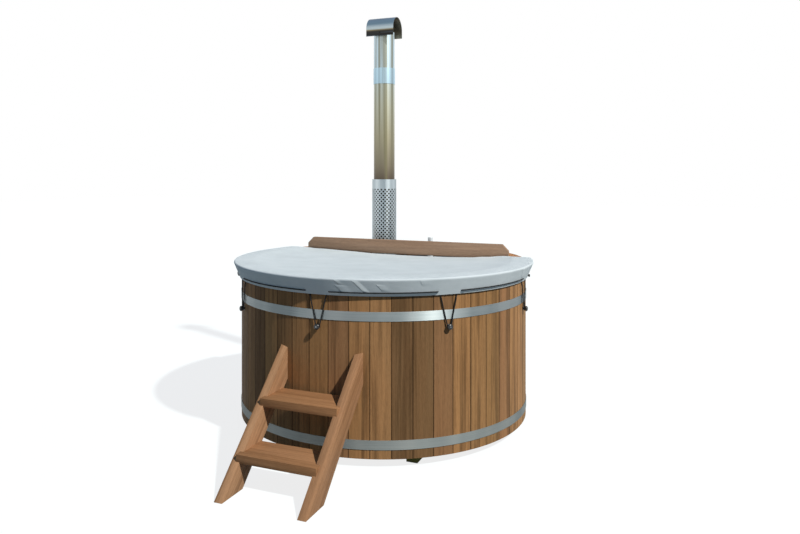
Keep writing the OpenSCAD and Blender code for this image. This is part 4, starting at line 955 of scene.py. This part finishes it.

# %% [markdown]
# Stainless steel that gets hot grows a skin of oxide, whose colour tells how hot it was. So the flue's
# colour runs with height: a ramp along Z goes from sooty brown at the guard's top through straw to bare
# silver. Below the guard's top, where the pipe is seen through the holes, the ramp runs to nearly black,
# which is painted shade in the gap between guard and pipe. Streaks 20 to 40 mm wide break it up; they are
# partly polishing and rain marks and partly painted reflection of the surroundings. Noise is drawn out
# along the pipe, and across the hood from one open end to the other. Painting the pipe would need an
# unwrapped picture of it, and a ramp needs only two heights.

# %% Finish: heat-tinted steel
def tinted_steel(name, ramp, low, high, streak, amount, lines=(26, 26, 0.3), soot=None):
    """Stainless steel whose colour changes between two heights, with dark and light streaks that are
    partly painted reflection. Inside an arched piece it is sooty; soot is a point on the arch's axis, a
    radius and the soot's colour."""
    material, tree, shader, place = new_material(name)
    height = add(tree, "SeparateXYZ", {"Vector": place})
    up = add(tree, "MapRange", {"Value": height.outputs["Z"], "From Min": low, "From Max": high})
    tint = add(tree, "ValToRGB", {"Fac": up.outputs[0]}, stops=ramp)
    stretched = add(tree, "Mapping", {"Vector": place, "Scale": lines, "Location": (3.1, 0.7, 0.0)})
    wide = add(tree, "TexNoise", {"Vector": stretched.outputs[0], "Scale": 1.0, "Detail": 2.0,
                                  "Roughness": 0.6})
    # The dark and light streaks are partly polishing and rain marks and partly painted reflection of the
    # surroundings.
    dark = add(tree, "MapRange", {"Value": wide.outputs["Fac"], "From Min": 0.5, "From Max": 0.62,
                                  "To Max": amount}, interpolation_type="SMOOTHSTEP")
    light = add(tree, "MapRange", {"Value": wide.outputs["Fac"], "From Min": 0.28, "From Max": 0.48,
                                   "To Min": 1.16, "To Max": 0.94})
    mixed = add(tree, "Mix", {0: dark.outputs[0], 6: tint.outputs[0], 7: linear(streak)},
                data_type="RGBA")
    shade = add(tree, "VectorMath", {0: mixed.outputs[2], 3: light.outputs[0]}, operation="SCALE")
    colour = shade.outputs[0]
    if soot:
        axis, inside_r, sooted = soot
        across = add(tree, "VectorMath", {0: place, 1: (0, 1, 1)}, operation="MULTIPLY")
        above = add(tree, "VectorMath", {0: across.outputs[0], 1: (0, 0, axis[2])}, operation="MAXIMUM")
        reach = add(tree, "VectorMath", {0: above.outputs[0], 1: axis}, operation="DISTANCE")
        inside = add(tree, "Math", {0: reach.outputs["Value"], 1: inside_r}, operation="LESS_THAN")
        colour = add(tree, "Mix", {0: inside.outputs[0], 6: colour, 7: linear(sooted)},
                     data_type="RGBA").outputs[2]
    tree.links.new(colour, shader.inputs["Base Color"])
    fine = add(tree, "Mapping", {"Vector": place, "Scale": [8 * part for part in lines]})
    hair = add(tree, "TexNoise", {"Vector": fine.outputs[0], "Scale": 1.0, "Detail": 2.0})
    dull = add(tree, "MapRange", {"Value": wide.outputs["Fac"], "From Min": 0.3, "From Max": 0.7,
                                  "To Min": 0.38, "To Max": 0.48})
    tree.links.new(dull.outputs[0], shader.inputs["Roughness"])
    shader.inputs["Metallic"].default_value = 1.0
    shader.inputs["Anisotropic"].default_value = 0.3
    shader.inputs["Anisotropic Rotation"].default_value = 0.25
    bump = add(tree, "Bump", {"Height": hair.outputs["Fac"], "Strength": 0.1, "Distance": 0.0003})
    tree.links.new(bump.outputs[0], shader.inputs["Normal"])
    return material


print("finishes so far:", len(bpy.data.materials))

# %% [markdown]
# The lower pipe is the tinted one. The upper pipe and the sleeve between them never got hot enough and
# are bare. The rain hood hangs in the smoke, which has darkened its inside. Its outside is painted
# reflection: the dark lower part is the ground mirrored, a thin straw-coloured line lies above the dark,
# the bright band above that is the horizon and the blue-grey top is the sky. The heights and the places
# of the colours on the ramps are taken from the photograph.

# %% Finish: the chimney
FLUE_TINT_LOW_Z, FLUE_TINT_HIGH_Z = 1.45, 2.35
UPPER_FLUE_LOW_Z, UPPER_FLUE_HIGH_Z = 2.3, 2.7
SLEEVE_HIGH_Z = 2.43
HOOD_HALF_WALL = 0.0008
# The ramp's nearly black low end, below the guard's top, is painted shade in the gap between guard and
# pipe.
HEATED = tinted_steel("heat_tinted_stainless", [(0.0, "#1E1A17"), (0.1, "#3A322B"),
                                                (0.14, "#655B4F"), (0.25, "#827A68"), (0.5, "#A09B84"),
                                                (0.75, "#B2B3A2"), (1.0, "#B9C2BC")],
                      FLUE_TINT_LOW_Z, FLUE_TINT_HIGH_Z, "#787458", 0.7)
PIPE_STEEL = tinted_steel("stainless_pipe", [(0.0, "#BACDD5"), (1.0, "#C4D7E0")], UPPER_FLUE_LOW_Z,
                          UPPER_FLUE_HIGH_Z, "#85826A", 0.75)
SLEEVE_STEEL = tinted_steel("stainless_sleeve", [(0.0, "#AFCBDA"), (1.0, "#B9D6E4")], UPPER_FLUE_LOW_Z,
                            SLEEVE_HIGH_Z, "#8E9DA2", 0.6)
hood_low, hood_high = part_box("rain_hood")
hood_r = (hood_high.y - hood_low.y) / 2
hood_soot = ((0, FLUE_Y, hood_high.z - hood_r), hood_r - HOOD_HALF_WALL, "#857F70")
# The hood's outside ramp is painted reflection: dark ground below, a straw line, a bright horizon band
# and a blue-grey sky on top. Its inside is sooty.
HOOD_STEEL = tinted_steel("smoked_hood", [(0.0, "#2A2928"), (0.25, "#3D3C3A"), (0.31, "#8C8064"),
                                          (0.36, "#B4C1C4"), (0.5, "#A3B3BC"), (0.62, "#6F8798"),
                                          (1.0, "#46627E")], hood_low.z, hood_high.z, "#5E6E7C", 0.35,
                          (0.6, 46, 46), hood_soot)
coat(HEATED, "lower_flue")
coat(PIPE_STEEL, "upper_flue")
coat(SLEEVE_STEEL, "flue_sleeve")
coat(HOOD_STEEL, "rain_hood")
print("rain hood from", round(hood_low.z, 3), "to", round(hood_high.z, 3), "m")

# %% [markdown]
# ## Rubber, nylon and lacquer
# These are plain moulded, braided or dipped surfaces. What tells them from a flat colour is a fine uneven
# skin and a roughness that isn't even. Grains of 1 to 2 mm stand for the etched skin of a mould, the
# plaits of a braid and the orange peel of sprayed lacquer. The real ones are finer and wouldn't show.

# %% Finish: moulded and lacquered
def moulded(name, colour, roughness, peel=900.0, strength=0.15, coat_weight=0.0, gloss=0.5):
    """A moulded or lacquered surface with a fine uneven skin."""
    material, tree, shader, place = new_material(name)
    skin = add(tree, "TexNoise", {"Vector": place, "Scale": peel, "Detail": 2.0})
    cloud = add(tree, "TexNoise", {"Vector": place, "Scale": 40.0, "Detail": 3.0})
    shade = add(tree, "MapRange", {"Value": cloud.outputs["Fac"], "To Min": 0.8, "To Max": 1.2})
    base = add(tree, "VectorMath", {0: linear(colour)[:3], 3: shade.outputs[0]}, operation="SCALE")
    tree.links.new(base.outputs[0], shader.inputs["Base Color"])
    rough = add(tree, "MapRange", {"Value": cloud.outputs["Fac"], "To Min": roughness - 0.08,
                                   "To Max": roughness + 0.08})
    tree.links.new(rough.outputs[0], shader.inputs["Roughness"])
    shader.inputs["Coat Weight"].default_value = coat_weight
    shader.inputs["Specular IOR Level"].default_value = gloss
    bump = add(tree, "Bump", {"Height": skin.outputs["Fac"], "Strength": strength, "Distance": 0.0003})
    tree.links.new(bump.outputs[0], shader.inputs["Normal"])
    return material


# Injection-moulded nylon: black, with a soft gloss.
NYLON = moulded("moulded_nylon", "#1B1D1F", 0.32)
# The cord's braided sleeve: black, matt, rough with plaits.
BRAID = moulded("braided_nylon_sleeve", "#1E2022", 0.65, 700, 0.6, gloss=0.15)
# Moulded rubber: black and quite matt.
RUBBER = moulded("black_rubber", "#1C1C1C", 0.75)
# Glass-fibre sealing cord: dark grey and fluffy.
SEALING_CORD = moulded("sealing_cord", "#3B3936", 0.85, 500, 0.5)
# Sprayed lacquer: red under a clear coat.
LACQUER = moulded("red_lacquer", "#A33B2E", 0.3, 700, 0.1, 0.5)
coat(NYLON, "cord_knobs")
coat(BRAID, loops, runs)
coat(RUBBER, "drain_seal")
coat(SEALING_CORD, "stove_gasket")
coat(LACQUER, "valve_lever")
print("finishes so far:", len(bpy.data.materials))

# %% [markdown]
# ## Floor, backdrop and light
# The object stands on a plain pale floor. The photograph's shadows are firm and blue-grey, which is
# sunlight under a blue sky, so the surroundings fill the shadows with a weak blue light. To the camera,
# to gloss and to glass they are white, because the photograph's background is, and metal would
# otherwise mirror a dark sky. Light paths tell the two apart. The floor is part matt, so that it shows
# the object's shadow and lights it from below, and part glowing white. Its matt part is grey, because
# the photograph shows only a little light from below.

# %% Surroundings and floor
FILL = 0.2
FLOOR_GLOW = 0.82
FLOOR_DROP = 0.001  # the floor lies this far under the object's feet


def white_rays(tree):
    """One for camera, glossy and transmission rays and nothing for the rest."""
    path = add(tree, "LightPath").outputs
    seen = add(tree, "Math", {0: path["Is Camera Ray"], 1: path["Is Glossy Ray"]}, operation="MAXIMUM")
    return add(tree, "Math", {0: seen.outputs[0], 1: path["Is Transmission Ray"]},
               operation="MAXIMUM").outputs[0]


world = bpy.data.worlds.new("studio")
world.use_nodes = True
bpy.context.scene.world = world
sky = world.node_tree
sky.nodes["Background"].inputs["Color"].default_value = linear("#AED4FF")
sky.nodes["Background"].inputs["Strength"].default_value = FILL
white = add(sky, "Background", {"Color": (1, 1, 1, 1), "Strength": 1.0})
either = add(sky, "MixShader", {0: white_rays(sky), 1: sky.nodes["Background"].outputs[0],
                                2: white.outputs[0]})
sky.links.new(either.outputs[0], sky.nodes["World Output"].inputs["Surface"])

deselect()
bpy.ops.mesh.primitive_plane_add(size=60, location=(0, 0, -FLOOR_DROP))
floor = bpy.context.object
floor.name = "studio_floor"
floor_material, floor_tree, floor_shader, _ = new_material("pale_floor")
floor_shader.inputs["Base Color"].default_value = linear("#7E8789")
floor_shader.inputs["Roughness"].default_value = 1.0
floor_shader.inputs["Specular IOR Level"].default_value = 0.0
glow = add(floor_tree, "Emission", {"Color": (1, 1, 1, 1), "Strength": FLOOR_GLOW})
lift = add(floor_tree, "MixShader", {0: white_rays(floor_tree), 2: glow.outputs[0]})
both = add(floor_tree, "AddShader", {0: floor_shader.outputs[0], 1: lift.outputs[0]})
floor_tree.links.new(both.outputs[0], floor_tree.nodes["Material Output"].inputs["Surface"])
coat(floor_material, floor)
print("fill", FILL, "floor glow", FLOOR_GLOW)

# %% [markdown]
# The sun stands to the right and a little in front, half way up the sky. Its place is matched to where
# the lit part of the skirt begins in the photograph, and to the shadow that the cover's edge throws on
# the staves. A sun lamp is used and not an area lamp, because its rays are parallel and every shadow
# falls the same way. It is a little warm, and 2 degrees wide, which softens a shadow's edge by 3.5 mm
# for each 100 mm between the edge and the shadow.

# %% Sun
SUN_AZIMUTH = math.radians(68)
SUN_HEIGHT = math.radians(44.5)
SUN_SPREAD = math.radians(2)
SUN_STRENGTH = 3.55
SUN_COLOUR = (1.0, 0.96, 0.9)

sun_data = bpy.data.lights.new("sun", "SUN")
sun_data.energy = SUN_STRENGTH
sun_data.angle = SUN_SPREAD
sun_data.color = SUN_COLOUR
sun = bpy.data.objects.new("sun", sun_data)
bpy.context.scene.collection.objects.link(sun)
to_sun = Vector((math.sin(SUN_AZIMUTH) * math.cos(SUN_HEIGHT),
                 -math.cos(SUN_AZIMUTH) * math.cos(SUN_HEIGHT), math.sin(SUN_HEIGHT)))
sun.location = 6 * to_sun
sun.rotation_euler = to_sun.to_track_quat("Z", "Y").to_euler()
print("sun", round(math.degrees(SUN_HEIGHT), 1), "degrees up")

# %% [markdown]
# ## View transform
# The standard view transform shows colours as they are written.

# %% View transform
bpy.context.scene.view_settings.view_transform = "Standard"
deselect()
